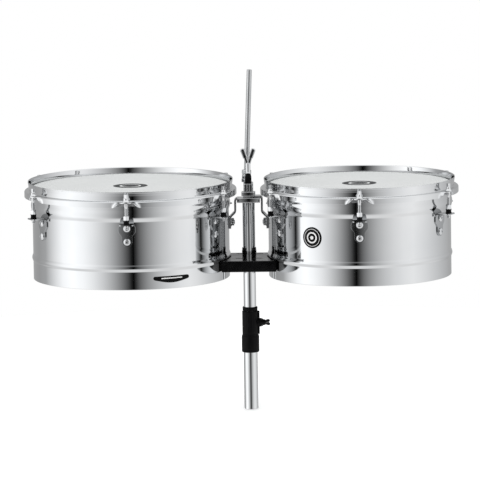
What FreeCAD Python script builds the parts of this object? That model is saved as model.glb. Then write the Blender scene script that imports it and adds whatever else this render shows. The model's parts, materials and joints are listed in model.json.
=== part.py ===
"""Pair of timbales on a height-adjustable post, with a cowbell rod.

Millimetres, +Z up.  The origin is the centre of the lower tube's bottom end.
+X runs along the pair, from the larger drum to the smaller, and -Y is the player's side.
"""
import FreeCAD, Part
import math
import os
import Sketcher

OUTPUT_FOLDER = "parts"
LUG_COUNT = 6
FULL_TURN = 360
FAR = 60

SIZES = [
    # shells
    ("left_radius", 177.8, "outer radius of the 14 inch shell"),
    ("right_radius", 165.1, "outer radius of the 13 inch shell"),
    ("post_gap", 35.5, "from the post's axis to each shell"),
    ("shell_base", 245, "height of both shells' bottom edge"),
    ("shell_depth", 165, "depth of both shells"),
    ("shell_wall", 1.2, "thickness of the steel shell"),
    ("low_bead_height", 39, "centre of the lower bead above the shell's bottom"),
    ("low_bead_half", 7, "half height of the lower bead"),
    ("low_bead_radius", 13.25, "radius of the lower bead's arc"),
    ("top_bead_height", 133, "centre of the upper bead above the shell's bottom"),
    ("top_bead_half", 12, "half height of the upper bead"),
    ("top_bead_radius", 30.05, "radius of the upper bead's arc"),
    # head and rim, outwards from the shell's radius and upwards from its top
    ("film", 0.4, "thickness of the drumhead's film"),
    ("film_bend", 2.4, "radius of the film's bend over the bearing edge"),
    ("hoop_inner", 1.2, "flesh hoop's inner radius beyond the shell"),
    ("hoop_outer", 9, "flesh hoop's outer radius beyond the shell"),
    ("hoop_low", 13.2, "flesh hoop's bottom below the shell's top"),
    ("hoop_top", 6.4, "flesh hoop's top below the shell's top"),
    ("rim_sheet", 1.6, "thickness of the rim's steel sheet"),
    ("lip_rise", 11.5, "rim's lip above the shell's top"),
    ("lip_outer", 8.3, "rim's lip beyond the shell's radius"),
    ("band_outer", 6.7, "rim's vertical band beyond the shell's radius"),
    ("shoulder_drop", 4.5, "rim's shoulder below the shell's top"),
    ("skirt_outer", 14, "rim's skirt beyond the shell's radius"),
    ("skirt_drop", 15.5, "skirt's lower edge below the shell's top"),
    ("ear_reach", 26.5, "rim's ears beyond the shell's radius"),
    ("ear_half", 13, "half width of an ear"),
    ("ear_curve", 13.3, "radius of an ear's rounded end"),
    # tension rods
    ("rod_circle", 19, "tension rods' axes beyond the shell's radius"),
    ("rod_radius", 3, "tension rod"),
    ("rod_end", 112, "lower end of the rods above the shell's bottom"),
    ("key_radius", 2.8, "key end of the rod's head"),
    ("key_top", 174.5, "top of the rod's head above the shell's bottom"),
    ("flare_radius", 7.2, "flared foot of the rod's head"),
    ("flare_curve", 12, "radius of the flare's concave side"),
    ("flare_height", 9, "height of the flare"),
    ("nut_half_flat", 4.75, "half the width across flats of the receiver nut"),
    ("nut_low", 128, "receiver nut's hexagon, bottom above the shell's bottom"),
    ("nut_top", 136, "receiver nut's hexagon, top above the shell's bottom"),
    ("neck_radius", 4, "receiver nut's neck"),
    ("bush_radius", 5.5, "black bush between the receiver nut and its shelf"),
    ("running_gap", 0.06, "running clearance on a radius"),
    # lug brackets
    ("plate_sheet", 2, "thickness of the lug bracket"),
    ("plate_low", 78.5, "bottom of the lug bracket above the shell's bottom"),
    ("plate_half", 15.8, "half width of the lug bracket"),
    ("tail_half", 9.5, "half width of the bracket's lower end"),
    ("shelf_reach", 26, "shelf's edge beyond the shell's radius"),
    ("shelf_half", 13, "half width of the shelf"),
    ("shelf_top", 120.5, "top of the shelf above the shell's bottom"),
    ("shelf_sheet", 2.6, "thickness of the shelf"),
    ("upper_bolt", 111, "upper lug bolt above the shell's bottom"),
    ("lower_bolt", 87, "lower lug bolt above the shell's bottom"),
    ("bolt_radius", 2.5, "shank of a lug bolt"),
    ("bolt_head", 6.5, "radius of a lug bolt's round head"),
    ("bolt_dome", 3.6, "height of a lug bolt's round head"),
    # stand
    ("tube_radius", 12.7, "lower tube, 1 inch outside"),
    ("neck_tube_radius", 12.2, "lower tube where the clamp is fitted on it"),
    ("tube_bore", 11.2, "bore of the lower tube"),
    ("tube_top", 132, "top of the lower tube, inside the clamp"),
    ("post_radius", 11.1, "post, 7/8 inch outside"),
    ("post_wall", 1.5, "wall of the post"),
    ("post_low", 24, "bottom of the post, inside the lower tube"),
    ("post_top", 378, "top of the post"),
    ("clamp_low", 104, "bottom of the height clamp"),
    ("clamp_shoulder", 137, "top of the clamp's sleeve"),
    ("clamp_top", 180, "top of the clamp's body"),
    ("cap_top", 187, "top of the clamp's cap ring"),
    ("wing_height", 158, "axis of the clamp's wing bolt"),
    ("sleeve_radius", 16, "outside of the clamp's sleeve"),
    ("body_radius", 14.6, "outside of the clamp's body"),
    # cradle
    ("cradle_low", 260.5, "underside of the cradle"),
    ("cradle_top", 280.5, "top of the cradle"),
    ("cradle_front", 74, "cradle's front edge before the post's axis"),
    ("cradle_back", 38, "cradle's back edge behind the post's axis"),
    ("seat_gap", 3, "from a shell to the cradle's curved side"),
    # top of the post
    ("arm_sheet", 3.5, "thickness of the strap arms"),
    ("arm_half", 11, "half width of the strap arms"),
    ("arm_reach", 24.1, "axis of an arm's upright leg from the post's axis"),
    ("arm_knee", 361, "height where an arm turns towards its shell"),
    ("foot_top", 352, "top of an arm's foot"),
    ("foot_low", 331, "bottom of an arm's foot"),
    ("foot_bolt", 342, "axis of the bolt in an arm's foot"),
    ("arm_nut_half_flat", 6.5, "half the width across flats of the nut in an arm's foot"),
    ("left_arm_low", 383.2, "underside of the left arm on the top bar"),
    ("bar_half", 20.7, "half length of the top bar"),
    ("bar_depth", 13.5, "half depth of the top bar"),
    ("clamp_plate_top", 397, "top of the upper clamp plate"),
    ("block_top", 412, "top of the holder block"),
    ("holder_back", 19, "cowbell rod's axis behind the post's axis"),
    ("cowbell_radius", 4.6, "cowbell rod"),
    ("cowbell_shift", 4.6, "foot of the cowbell rod beside the post's axis"),
    ("cowbell_low", 400, "foot of the cowbell rod"),
    ("cowbell_length", 217, "length of the cowbell rod"),
    ("cowbell_foot_radius", 4.2, "cowbell rod's foot, inside the eye and the holder block"),
    ("cowbell_foot", 34.6, "length of the cowbell rod's foot"),
    ("cowbell_lean", 2.4, "lean of the cowbell rod, in degrees"),
    ("wing_bolt_radius", 4, "shank of the top wing bolt"),
]


class Dim:
    """A number together with the sheet expression that gives it."""

    def __init__(self, value, text):
        self.value = value
        self.text = text

    def joined(self, other, sign, value, swapped=False):
        first, second = (text_of(other), self.text) if swapped else (self.text, text_of(other))
        return Dim(value, f"({first} {sign} {second})")

    def __add__(self, other):
        return self.joined(other, "+", self.value + number(other))

    def __radd__(self, other):
        return self.joined(other, "+", number(other) + self.value, swapped=True)

    def __sub__(self, other):
        return self.joined(other, "-", self.value - number(other))

    def __rsub__(self, other):
        return self.joined(other, "-", number(other) - self.value, swapped=True)

    def __mul__(self, other):
        return self.joined(other, "*", self.value * number(other))

    __rmul__ = __mul__

    def __neg__(self):
        return 0 - self


class Sizes:
    """Every alias of the sheet as an attribute."""


def number(dim):
    return dim.value if isinstance(dim, Dim) else float(dim)


def text_of(dim):
    return dim.text if isinstance(dim, Dim) else repr(float(dim))


def root_of(dim):
    return Dim(math.sqrt(dim.value), f"sqrt({dim.text})")


def make_sheet(document):
    """Spreadsheet with one row for each size: its meaning, its value and its alias."""
    sheet = document.addObject("Spreadsheet::Sheet", "Sizes")
    sizes = Sizes()
    for row, (alias, value, meaning) in enumerate(SIZES, start=1):
        sheet.set(f"A{row}", meaning)
        sheet.set(f"B{row}", str(value))
        sheet.setAlias(f"B{row}", alias)
        setattr(sizes, alias, Dim(float(value), f"Sizes.{alias}"))
    document.recompute()
    return sizes


# ---------------------------------------------------------------- sketches and features

def new_body(name):
    body = doc.addObject("PartDesign::Body", name)
    body.Label = name
    body.AllowCompound = True
    names.append(name)
    return body


def place(body, x=0, y=0, z=0, axis=(0, 0, 1), angle=0):
    """Body's origin at x, y, z, bound to the sheet, turned about an axis."""
    body.Placement = FreeCAD.Placement(
        FreeCAD.Vector(number(x), number(y), number(z)),
        FreeCAD.Rotation(FreeCAD.Vector(*axis), angle),
    )
    for letter, dim in zip("xyz", (x, y, z)):
        if isinstance(dim, Dim):
            body.setExpression(f"Placement.Base.{letter}", dim.text)


def new_sketch(body, name, role, lift=0, rise=0):
    """Empty sketch on an origin plane, moved along its normal by lift and upwards by rise."""
    plane = next(item for item in body.Origin.OriginFeatures if item.Role == role)
    sketch = body.newObject("Sketcher::SketchObject", name)
    sketch.AttachmentSupport = (plane, "")
    sketch.MapMode = "FlatFace"
    sketch.AttachmentOffset = FreeCAD.Placement(
        FreeCAD.Vector(0, number(rise), number(lift)), FreeCAD.Rotation()
    )
    for letter, dim in (("y", rise), ("z", lift)):
        if isinstance(dim, Dim):
            sketch.setExpression(f"AttachmentOffset.Base.{letter}", dim.text)
    return sketch


def add_bound(sketch, constraints):
    """Adds (constraint, dim) pairs and binds each dim to the sheet."""
    indices = sketch.addConstraint([constraint for constraint, _ in constraints])
    for index, (_, dim) in zip(indices, constraints):
        if isinstance(dim, Dim):
            sketch.setExpression(f"Constraints[{index}]", dim.text)


def pinned(geometry, vertex, x, y):
    """Constraints that hold one vertex at x, y."""
    pairs = []
    for kind, axis, dim in (("DistanceX", -2, x), ("DistanceY", -1, y)):
        if abs(number(dim)) < 1e-9:
            pairs.append((Sketcher.Constraint("PointOnObject", geometry, vertex, axis), None))
        else:
            value = number(dim)
            pairs.append((Sketcher.Constraint(kind, -1, 1, geometry, vertex, value), dim))
    return pairs


def arc_between(start, end, radius, side):
    """Minor arc from start to end; side +1 bulges to the left of the way, -1 to the right."""
    chord = end - start
    half = chord.Length / 2
    sagitta = radius - math.sqrt(max(radius * radius - half * half, 0))
    left = FreeCAD.Vector(-chord.y, chord.x, 0).normalize()
    return Part.Arc(start, (start + end) * 0.5 + left * (side * sagitta), end)


def add_outline(sketch, corners):
    """Closed outline; a corner is (x, y), or (x, y, radius, side) where an arc leaves it."""
    first = sketch.GeometryCount
    count = len(corners)
    points = [FreeCAD.Vector(number(corner[0]), number(corner[1]), 0) for corner in corners]
    starts = []
    for index, corner in enumerate(corners):
        start, end = points[index], points[(index + 1) % count]
        if len(corner) == 2:
            sketch.addGeometry(Part.LineSegment(start, end), False)
        else:
            sketch.addGeometry(arc_between(start, end, number(corner[2]), corner[3]), False)
        is_start = sketch.getPoint(first + index, 1).distanceToPoint(start) < 1e-6
        starts.append(1 if is_start else 2)
    constraints = []
    for index, corner in enumerate(corners):
        after = (index + 1) % count
        constraints.append((Sketcher.Constraint(
            "Coincident", first + index, 3 - starts[index], first + after, starts[after]), None))
    for index, corner in enumerate(corners):
        constraints += pinned(first + index, starts[index], corner[0], corner[1])
        if len(corner) == 4:
            radius = Sketcher.Constraint("Radius", first + index, number(corner[2]))
            constraints.append((radius, corner[2]))
    add_bound(sketch, constraints)


def add_circle(sketch, x, y, radius):
    """Circle pinned at x, y."""
    index = sketch.GeometryCount
    centre = FreeCAD.Vector(number(x), number(y), 0)
    sketch.addGeometry(Part.Circle(centre, FreeCAD.Vector(0, 0, 1), number(radius)), False)
    constraints = pinned(index, 3, x, y)
    constraints.append((Sketcher.Constraint("Radius", index, number(radius)), radius))
    add_bound(sketch, constraints)


def finish_feature(body, feature):
    body.Tip = feature
    doc.recompute()
    return feature


def turn(body, name, corners, angle=FULL_TURN, axis="V_Axis", rise=0):
    """Outline on the XZ plane, turned about the plane's upright or level axis."""
    sketch = new_sketch(body, f"{name}_profile", "XZ_Plane", rise=rise)
    add_outline(sketch, corners)
    feature = body.newObject("PartDesign::Revolution", name)
    feature.Profile = sketch
    feature.ReferenceAxis = (sketch, [axis])
    feature.Angle = angle
    feature.Midplane = angle != FULL_TURN
    return finish_feature(body, feature)


def pad(body, name, sketch, length, symmetric=False, reverse=False):
    feature = body.newObject("PartDesign::Pad", name)
    feature.Profile = sketch
    feature.Length = number(length)
    if isinstance(length, Dim):
        feature.setExpression("Length", length.text)
    feature.Midplane = symmetric
    feature.Reversed = reverse
    return finish_feature(body, feature)


def cut(body, name, sketch, length, symmetric=False, reverse=False):
    """Pocket that must take something away."""
    before = body.Shape.Volume
    feature = body.newObject("PartDesign::Pocket", name)
    feature.Profile = sketch
    feature.Length = number(length)
    if isinstance(length, Dim):
        feature.setExpression("Length", length.text)
    feature.Midplane = symmetric
    feature.Reversed = reverse
    finish_feature(body, feature)
    if body.Shape.Volume > before - 1e-3:
        raise RuntimeError(f"{body.Label}: {name} cuts nothing")
    return feature


def around(body, name, features, count=LUG_COUNT):
    """Repeats features about the body's upright axis."""
    feature = body.newObject("PartDesign::PolarPattern", name)
    feature.Originals = features
    axis = next(item for item in body.Origin.OriginFeatures if item.Role == "Z_Axis")
    feature.Axis = (axis, [""])
    feature.Angle = FULL_TURN
    feature.Occurrences = count
    return finish_feature(body, feature)


def ring(name, inner, outer, low, high):
    """Plain ring or tube about the upright axis."""
    body = new_body(name)
    turn(body, f"{name}_ring", [(inner, low), (outer, low), (outer, high), (inner, high)])
    return body


def disc(name, outer, low, high):
    """Plain cylinder about the upright axis."""
    return ring(name, 0, outer, low, high)


def hexagon(half_flat):
    """Corners of a hexagon about 0, 0, with flats towards +y and -y."""
    corner = half_flat * (1 / math.cos(math.radians(30)))
    turns = [math.radians(60 * step) for step in range(6)]
    return [(corner * math.cos(angle), corner * math.sin(angle)) for angle in turns]


# ---------------------------------------------------------------- one drum

class Drum:
    """The sizes of one drum: its name, radius, side of the post and badge."""

    def __init__(self, side, radius, direction):
        self.side = side
        self.radius = radius
        self.direction = direction
        self.centre = direction * (S.post_gap + radius)

    def name(self, piece):
        return f"{self.side}_{piece}"

    def place(self, body, angle=0):
        """Origin at the shell's bottom centre; +X of the body to the front, then turned."""
        place(body, self.centre, 0, S.shell_base, angle=angle - 90)


def make_shell(drum):
    """Spun steel shell with two hollow beads, drilled for the lug bolts and the arm's bolt."""
    outer = drum.radius
    inner = outer - S.shell_wall
    low_start = S.low_bead_height - S.low_bead_half
    low_end = S.low_bead_height + S.low_bead_half
    top_start = S.top_bead_height - S.top_bead_half
    top_end = S.top_bead_height + S.top_bead_half
    body = new_body(drum.name("shell"))
    turn(body, f"{drum.side}_shell_wall", [
        (inner, 0), (outer, 0),
        (outer, low_start, S.low_bead_radius, -1), (outer, low_end),
        (outer, top_start, S.top_bead_radius, -1), (outer, top_end),
        (outer, S.shell_depth - S.shell_wall, S.shell_wall, 1), (inner, S.shell_depth),
        (inner, top_end, S.top_bead_radius, 1), (inner, top_start),
        (inner, low_end, S.low_bead_radius, 1), (inner, low_start),
    ])
    holes = new_sketch(body, f"{drum.side}_lug_hole_places", "YZ_Plane")
    for height in (S.upper_bolt, S.lower_bolt):
        add_circle(holes, 0, height, S.bolt_radius)
    drilled = cut(body, f"{drum.side}_lug_holes", holes, outer + FAR, reverse=True)
    around(body, f"{drum.side}_all_lug_holes", [drilled])
    arm_hole = new_sketch(body, f"{drum.side}_arm_hole_place", "XZ_Plane")
    add_circle(arm_hole, 0, S.foot_bolt - S.shell_base, ARM_BOLT_RADIUS)
    cut(body, f"{drum.side}_arm_hole", arm_hole, outer + FAR, reverse=drum.direction > 0)
    drum.place(body)


def make_head(drum):
    """Film stretched over the bearing edge, and the flesh hoop that holds its edge."""
    top = S.shell_depth
    outside = drum.radius + S.hoop_inner
    inside = outside - S.film
    flat = outside - S.film_bend
    skirt = top - S.hoop_low
    body = new_body(drum.name("drumhead"))
    turn(body, f"{drum.side}_film", [
        (0, top), (flat, top, S.film_bend - S.film, 1), (inside, top - S.film_bend + S.film),
        (inside, skirt), (outside, skirt),
        (outside, top - S.film_bend + S.film, S.film_bend, -1), (flat, top + S.film),
        (0, top + S.film),
    ])
    drum.place(body)
    hoop = ring(drum.name("flesh_hoop"), outside, drum.radius + S.hoop_outer,
                skirt, top - S.hoop_top)
    drum.place(hoop)


def make_rim(drum):
    """Triple-flanged rim: lip, band, shoulder and skirt, with a drilled ear for each rod."""
    radius = drum.radius
    sheet = S.rim_sheet
    lip = S.shell_depth + S.lip_rise
    shoulder = S.shell_depth - S.shoulder_drop
    skirt = S.shell_depth - S.skirt_drop
    band = radius + S.band_outer
    body = new_body(drum.name("rim"))
    turn(body, f"{drum.side}_rim_ring", [
        (band - sheet, shoulder - sheet), (radius + S.skirt_outer - sheet, shoulder - sheet),
        (radius + S.skirt_outer - sheet, skirt), (radius + S.skirt_outer, skirt),
        (radius + S.skirt_outer, shoulder), (band, shoulder),
        (band, lip - 2 * sheet), (radius + S.lip_outer, lip - sheet),
        (radius + S.lip_outer, lip), (band - sheet, lip),
    ])
    ear = new_sketch(body, f"{drum.side}_ear_outline", "XY_Plane", lift=shoulder - sheet)
    root = radius + S.skirt_outer - sheet * 0.5
    start = radius + S.ear_reach - EAR_ROUND
    add_outline(ear, [
        (root, -S.ear_half), (start, -S.ear_half, S.ear_curve, -1), (start, S.ear_half),
        (root, S.ear_half),
    ])
    tab = pad(body, f"{drum.side}_ear", ear, sheet)
    hole = new_sketch(body, f"{drum.side}_ear_hole_place", "XY_Plane", lift=shoulder)
    add_circle(hole, radius + S.rod_circle, 0, S.rod_radius + EAR_PLAY)
    drilled = cut(body, f"{drum.side}_ear_hole", hole, sheet * 2)
    around(body, f"{drum.side}_ears", [tab, drilled])
    drum.place(body)


def make_tension_rod(drum, number_of_rod):
    """Rod with a flared key head, standing on an ear and screwed into its receiver nut."""
    shoulder = S.shell_depth - S.shoulder_drop
    foot = shoulder + SEAT_PLAY
    body = new_body(drum.name(f"tension_rod_{number_of_rod}"))
    turn(body, f"{body.Label}_turned", [
        (0, S.rod_end), (S.rod_radius, S.rod_end), (S.rod_radius, foot), (S.flare_radius, foot),
        (S.flare_radius, foot + 1, S.flare_curve, 1), (S.key_radius, foot + S.flare_height),
        (S.key_radius, S.key_top), (0, S.key_top),
    ])
    angle = math.radians(-90 + (number_of_rod - 1) * FULL_TURN / LUG_COUNT)
    circle = drum.radius + S.rod_circle
    place(body, drum.centre + circle * math.cos(angle), circle * math.sin(angle), S.shell_base)


def make_receiver_nuts(drum):
    """Hexagonal nuts whose necks pass down through the lug shelves, and their black bushes."""
    circle = drum.radius + S.rod_circle
    bore = S.rod_radius + S.running_gap
    body = new_body(drum.name("receiver_nuts"))
    flats = new_sketch(body, f"{drum.side}_nut_outline", "XY_Plane", lift=S.nut_low)
    add_outline(flats, [(circle + x, y) for x, y in hexagon(S.nut_half_flat)])
    head = pad(body, f"{drum.side}_nut", flats, S.nut_top - S.nut_low)
    neck_low = S.shelf_top - S.shelf_sheet - 2
    round_part = new_sketch(body, f"{drum.side}_neck_outline", "XY_Plane", lift=neck_low)
    add_circle(round_part, circle, 0, S.neck_radius)
    neck = pad(body, f"{drum.side}_neck", round_part, S.nut_low - neck_low)
    hole = new_sketch(body, f"{drum.side}_nut_bore_place", "XY_Plane", lift=S.nut_top)
    add_circle(hole, circle, 0, bore)
    bored = cut(body, f"{drum.side}_nut_bore", hole, S.nut_top - neck_low + 1)
    around(body, f"{drum.side}_nuts", [head, neck, bored])
    drum.place(body)

    body = new_body(drum.name("nut_bushes"))
    outline = new_sketch(body, f"{drum.side}_bush_outline", "XY_Plane", lift=S.shelf_top)
    add_circle(outline, circle, 0, S.bush_radius)
    add_circle(outline, circle, 0, S.neck_radius)
    bush = pad(body, f"{drum.side}_bush", outline, S.nut_low - S.shelf_top)
    around(body, f"{drum.side}_bushes", [bush])
    drum.place(body)


def bracket_outline():
    """Front outline of a lug bracket, upwards along y: shelf, wide plate, neck, round end."""
    shelf_low = S.shelf_top - S.shelf_sheet
    tail = S.plate_low + S.tail_half
    widest = shelf_low - PLATE_SHOULDER
    narrowing = S.upper_bolt - PLATE_BELOW_BOLT
    narrow = S.lower_bolt + PLATE_ABOVE_BOLT
    return [
        (S.shelf_half, S.shelf_top), (-S.shelf_half, S.shelf_top), (-S.shelf_half, shelf_low),
        (-S.plate_half, widest), (-S.plate_half, narrowing),
        (-S.tail_half, narrow), (-S.tail_half, tail, S.tail_half, -1),
        (0, S.plate_low, S.tail_half, -1), (S.tail_half, tail), (S.tail_half, narrow),
        (S.plate_half, narrowing), (S.plate_half, widest), (S.shelf_half, shelf_low),
    ]


def make_lug_brackets(drum):
    """Six stamped brackets, each a curved plate on the shell with a shelf for a receiver nut."""
    radius = drum.radius
    shelf_low = S.shelf_top - S.shelf_sheet
    body = new_body(drum.name("lug_brackets"))
    blank = turn(body, f"{drum.side}_bracket_blank", [
        (radius, S.plate_low), (radius + S.plate_sheet, S.plate_low),
        (radius + S.plate_sheet, shelf_low), (radius + S.shelf_reach, shelf_low),
        (radius + S.shelf_reach, S.shelf_top), (radius, S.shelf_top),
    ], angle=BRACKET_SWEEP)
    waste = new_sketch(body, f"{drum.side}_bracket_waste", "YZ_Plane")
    add_outline(waste, [
        (-FAR, S.plate_low - FAR), (FAR, S.plate_low - FAR),
        (FAR, S.shelf_top + FAR), (-FAR, S.shelf_top + FAR),
    ])
    add_outline(waste, bracket_outline())
    trimmed = cut(body, f"{drum.side}_bracket_trim", waste, radius + FAR, reverse=True)
    holes = new_sketch(body, f"{drum.side}_bracket_hole_places", "YZ_Plane")
    for height in (S.upper_bolt, S.lower_bolt):
        add_circle(holes, 0, height, S.bolt_radius)
    drilled = cut(body, f"{drum.side}_bracket_holes", holes, radius + S.plate_sheet + 4,
                  reverse=True)
    seat = new_sketch(body, f"{drum.side}_shelf_hole_place", "XY_Plane", lift=S.shelf_top)
    add_circle(seat, radius + S.rod_circle, 0, S.neck_radius)
    bored = cut(body, f"{drum.side}_shelf_hole", seat, S.shelf_sheet * 2)
    around(body, f"{drum.side}_brackets", [blank, trimmed, drilled, bored])
    drum.place(body)


def make_lug_bolts(drum):
    """Two round-headed bolts through each lug bracket, and their nuts inside the shell."""
    radius = drum.radius
    inside = radius - S.shell_wall
    seat = radius + S.plate_sheet
    body = new_body(drum.name("lug_bolts"))
    bolts = []
    for label, height in (("upper", S.upper_bolt), ("lower", S.lower_bolt)):
        bolts.append(turn(body, f"{drum.side}_{label}_bolt", [
            (inside - BOLT_TAIL, 0), (seat + S.bolt_dome, 0, BOLT_CROWN, 1),
            (seat + BOLT_RIM, S.bolt_head), (seat, S.bolt_head), (seat, S.bolt_radius),
            (inside - BOLT_TAIL, S.bolt_radius),
        ], axis="H_Axis", rise=height))
    around(body, f"{drum.side}_bolts", bolts)
    drum.place(body)

    body = new_body(drum.name("lug_nuts"))
    features = []
    for label, height in (("upper", S.upper_bolt), ("lower", S.lower_bolt)):
        flats = new_sketch(body, f"{drum.side}_{label}_nut_outline", "YZ_Plane",
                           lift=inside - LUG_NUT_HEIGHT - LUG_NUT_PLAY)
        add_outline(flats, [(x, height + y) for x, y in hexagon(S.nut_half_flat)])
        add_circle(flats, 0, height, S.bolt_radius)
        features.append(pad(body, f"{drum.side}_{label}_lug_nut", flats,
                            LUG_NUT_HEIGHT))
    around(body, f"{drum.side}_lug_nut_ring", features)
    drum.place(body)


def make_badge(drum, angle, low, high, half_width, round_badge):
    """Thin plate that follows the shell: a round one, or an oblong with an arched top edge."""
    radius = drum.radius
    middle = (low + high) * 0.5
    body = new_body(drum.name("badge"))
    turn(body, f"{drum.side}_badge_blank", [
        (radius + BADGE_GLUE, low), (radius + BADGE_SHEET, low),
        (radius + BADGE_SHEET, high), (radius + BADGE_GLUE, high),
    ], angle=BADGE_SWEEP)
    waste = new_sketch(body, f"{drum.side}_badge_waste", "YZ_Plane")
    wide = FAR * 2
    add_outline(waste, [(-wide, -wide), (wide, -wide), (wide, high + wide), (-wide, high + wide)])
    if round_badge:
        add_circle(waste, 0, middle, half_width)
    else:
        edge = (high - low) * 0.5
        add_outline(waste, [
            (half_width, low + BADGE_SIDE),
            (half_width, low + edge, half_width * BADGE_TOP_CURVE, -1),
            (-half_width, low + edge),
            (-half_width, low + BADGE_SIDE, half_width * BADGE_LOW_CURVE, -1),
        ])
    cut(body, f"{drum.side}_badge_trim", waste, radius + FAR, reverse=True)
    drum.place(body, angle)


def make_arm(drum, low):
    """Strap bent from the clamp on the post, down and out to a foot on the shell."""
    sheet = S.arm_sheet
    leg = S.arm_reach
    side = drum.direction
    foot = S.post_gap
    body = new_body(drum.name("mount_arm"))
    strap = new_sketch(body, f"{drum.side}_arm_side", "XZ_Plane")
    half = sheet * 0.5
    corners = [
        (-ARM_TAIL, low), (-ARM_TAIL, low + sheet), (leg - half, low + sheet),
        (leg + half, low + sheet - half), (leg + half, S.arm_knee), (foot, S.foot_top),
        (foot, S.foot_low), (foot - sheet, S.foot_low), (foot - sheet, S.foot_top - half),
        (leg - half, S.arm_knee - half), (leg - half, low),
    ]
    add_outline(strap, [(x * side, z) for x, z in corners])
    pad(body, f"{drum.side}_arm", strap, S.arm_half * 2, symmetric=True)
    eye = new_sketch(body, f"{drum.side}_arm_eye", "XY_Plane", lift=low + sheet)
    add_circle(eye, 0, 0, S.wing_bolt_radius + S.running_gap)
    cut(body, f"{drum.side}_arm_hole", eye, sheet)
    hole = new_sketch(body, f"{drum.side}_foot_hole", "YZ_Plane")
    add_circle(hole, 0, S.foot_bolt, ARM_BOLT_RADIUS)
    cut(body, f"{drum.side}_foot_bore", hole, foot + 2, reverse=side > 0)


def make_arm_bolt(drum):
    """Bolt from inside the shell through the arm's foot, with a washer and nut outside."""
    inside = S.post_gap + S.shell_wall + SEAT_PLAY
    outside = S.post_gap - S.arm_sheet
    turned = 90 if drum.direction < 0 else -90
    body = new_body(drum.name("arm_bolt"))
    turn(body, f"{drum.side}_arm_bolt_turned", [
        (0, -inside - ARM_HEAD_HEIGHT), (ARM_HEAD_RADIUS, -inside - ARM_HEAD_HEIGHT),
        (ARM_HEAD_RADIUS, -inside), (ARM_BOLT_RADIUS, -inside),
        (ARM_BOLT_RADIUS, ARM_BOLT_REACH - outside), (0, ARM_BOLT_REACH - outside),
    ])
    place(body, 0, 0, S.foot_bolt, axis=(0, 1, 0), angle=turned)
    body = new_body(drum.name("arm_nut"))
    turn(body, f"{drum.side}_arm_washer", [
        (ARM_BOLT_RADIUS, -outside), (WASHER_RADIUS, -outside),
        (WASHER_RADIUS, WASHER_SHEET - outside), (ARM_BOLT_RADIUS, WASHER_SHEET - outside),
    ])
    flats = new_sketch(body, f"{drum.side}_arm_nut_outline", "XY_Plane",
                       lift=WASHER_SHEET - outside)
    add_outline(flats, hexagon(S.arm_nut_half_flat))
    add_circle(flats, 0, 0, ARM_BOLT_RADIUS)
    pad(body, f"{drum.side}_arm_nut_flats", flats, ARM_NUT_HEIGHT)
    place(body, 0, 0, S.foot_bolt, axis=(0, 1, 0), angle=turned)


# ---------------------------------------------------------------- stand

def make_tubes():
    body = new_body("lower_tube")
    turn(body, "lower_tube_wall", [
        (S.tube_bore, 0), (S.tube_radius, 0), (S.tube_radius, S.clamp_low),
        (S.neck_tube_radius, S.clamp_low), (S.neck_tube_radius, S.tube_top),
        (S.tube_bore, S.tube_top),
    ])
    body = ring("post_tube", S.post_radius - S.post_wall, S.post_radius, S.post_low, S.post_top)
    hole = new_sketch(body, "post_pin_place", "YZ_Plane")
    add_circle(hole, 0, PIN_HEIGHT, PIN_RADIUS)
    cut(body, "post_pin_hole", hole, FAR, symmetric=True)
    ring("post_plug", S.wing_bolt_radius + S.running_gap, S.post_radius - S.post_wall,
         S.post_top - PLUG_DEPTH, S.post_top)


def make_clamp():
    """Black height clamp: sleeve on the lower tube, body with a boss, guide bush and cap."""
    bore = S.neck_tube_radius
    ring("clamp_sleeve", bore, S.sleeve_radius, S.clamp_low, S.clamp_shoulder)
    body = ring("clamp_body", bore, S.body_radius, S.clamp_shoulder, S.clamp_top)
    boss = new_sketch(body, "boss_outline", "YZ_Plane", lift=S.tube_radius)
    add_circle(boss, 0, S.wing_height, BOSS_RADIUS)
    pad(body, "boss", boss, BOSS_REACH - S.tube_radius)
    thread = new_sketch(body, "boss_bore_place", "YZ_Plane")
    add_circle(thread, 0, S.wing_height, S.wing_bolt_radius + S.running_gap)
    cut(body, "boss_bore", thread, FAR, reverse=True)
    ring("clamp_bush", S.post_radius + S.running_gap, bore - S.running_gap,
         S.tube_top + SEAT_PLAY, S.clamp_top - SEAT_PLAY)
    ring("clamp_cap", S.post_radius + S.running_gap, S.body_radius - CAP_STEP,
         S.clamp_top, S.cap_top)


def make_wing_bolt(name, neck, wing_foot, wing_top, wing_half, thickness, shank_end):
    """Wing bolt along the body's +Z; its flange rests at z = 0 and its shank runs below."""
    body = new_body(name)
    shank = S.wing_bolt_radius
    turn(body, f"{name}_turned", [
        (0, shank_end), (shank, shank_end), (shank, 0), (neck + FLANGE, 0),
        (neck + FLANGE, FLANGE), (neck, FLANGE), (neck, wing_foot + WING_ROOT),
        (0, wing_foot + WING_ROOT),
    ])
    wings = new_sketch(body, f"{name}_wing_outline", "XZ_Plane")
    tip = wing_half - TIP_CORNER
    inner = wing_half - WING_WIDTH
    shoulder = wing_top - WING_SHOULDER
    valley = wing_top - WING_BEVEL
    add_outline(wings, [
        (-neck, wing_foot), (neck, wing_foot), (wing_half, shoulder), (tip, wing_top),
        (inner, valley), (0, wing_foot + NOTCH), (-inner, valley), (-tip, wing_top),
        (-wing_half, shoulder),
    ])
    pad(body, f"{name}_wings", wings, thickness, symmetric=True)
    return body


def cradle_side(drum, distance):
    """x where the cradle's curved side meets the line y = distance."""
    radius = drum.radius + S.seat_gap
    return drum.centre - drum.direction * root_of(radius * radius - distance * distance)


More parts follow.
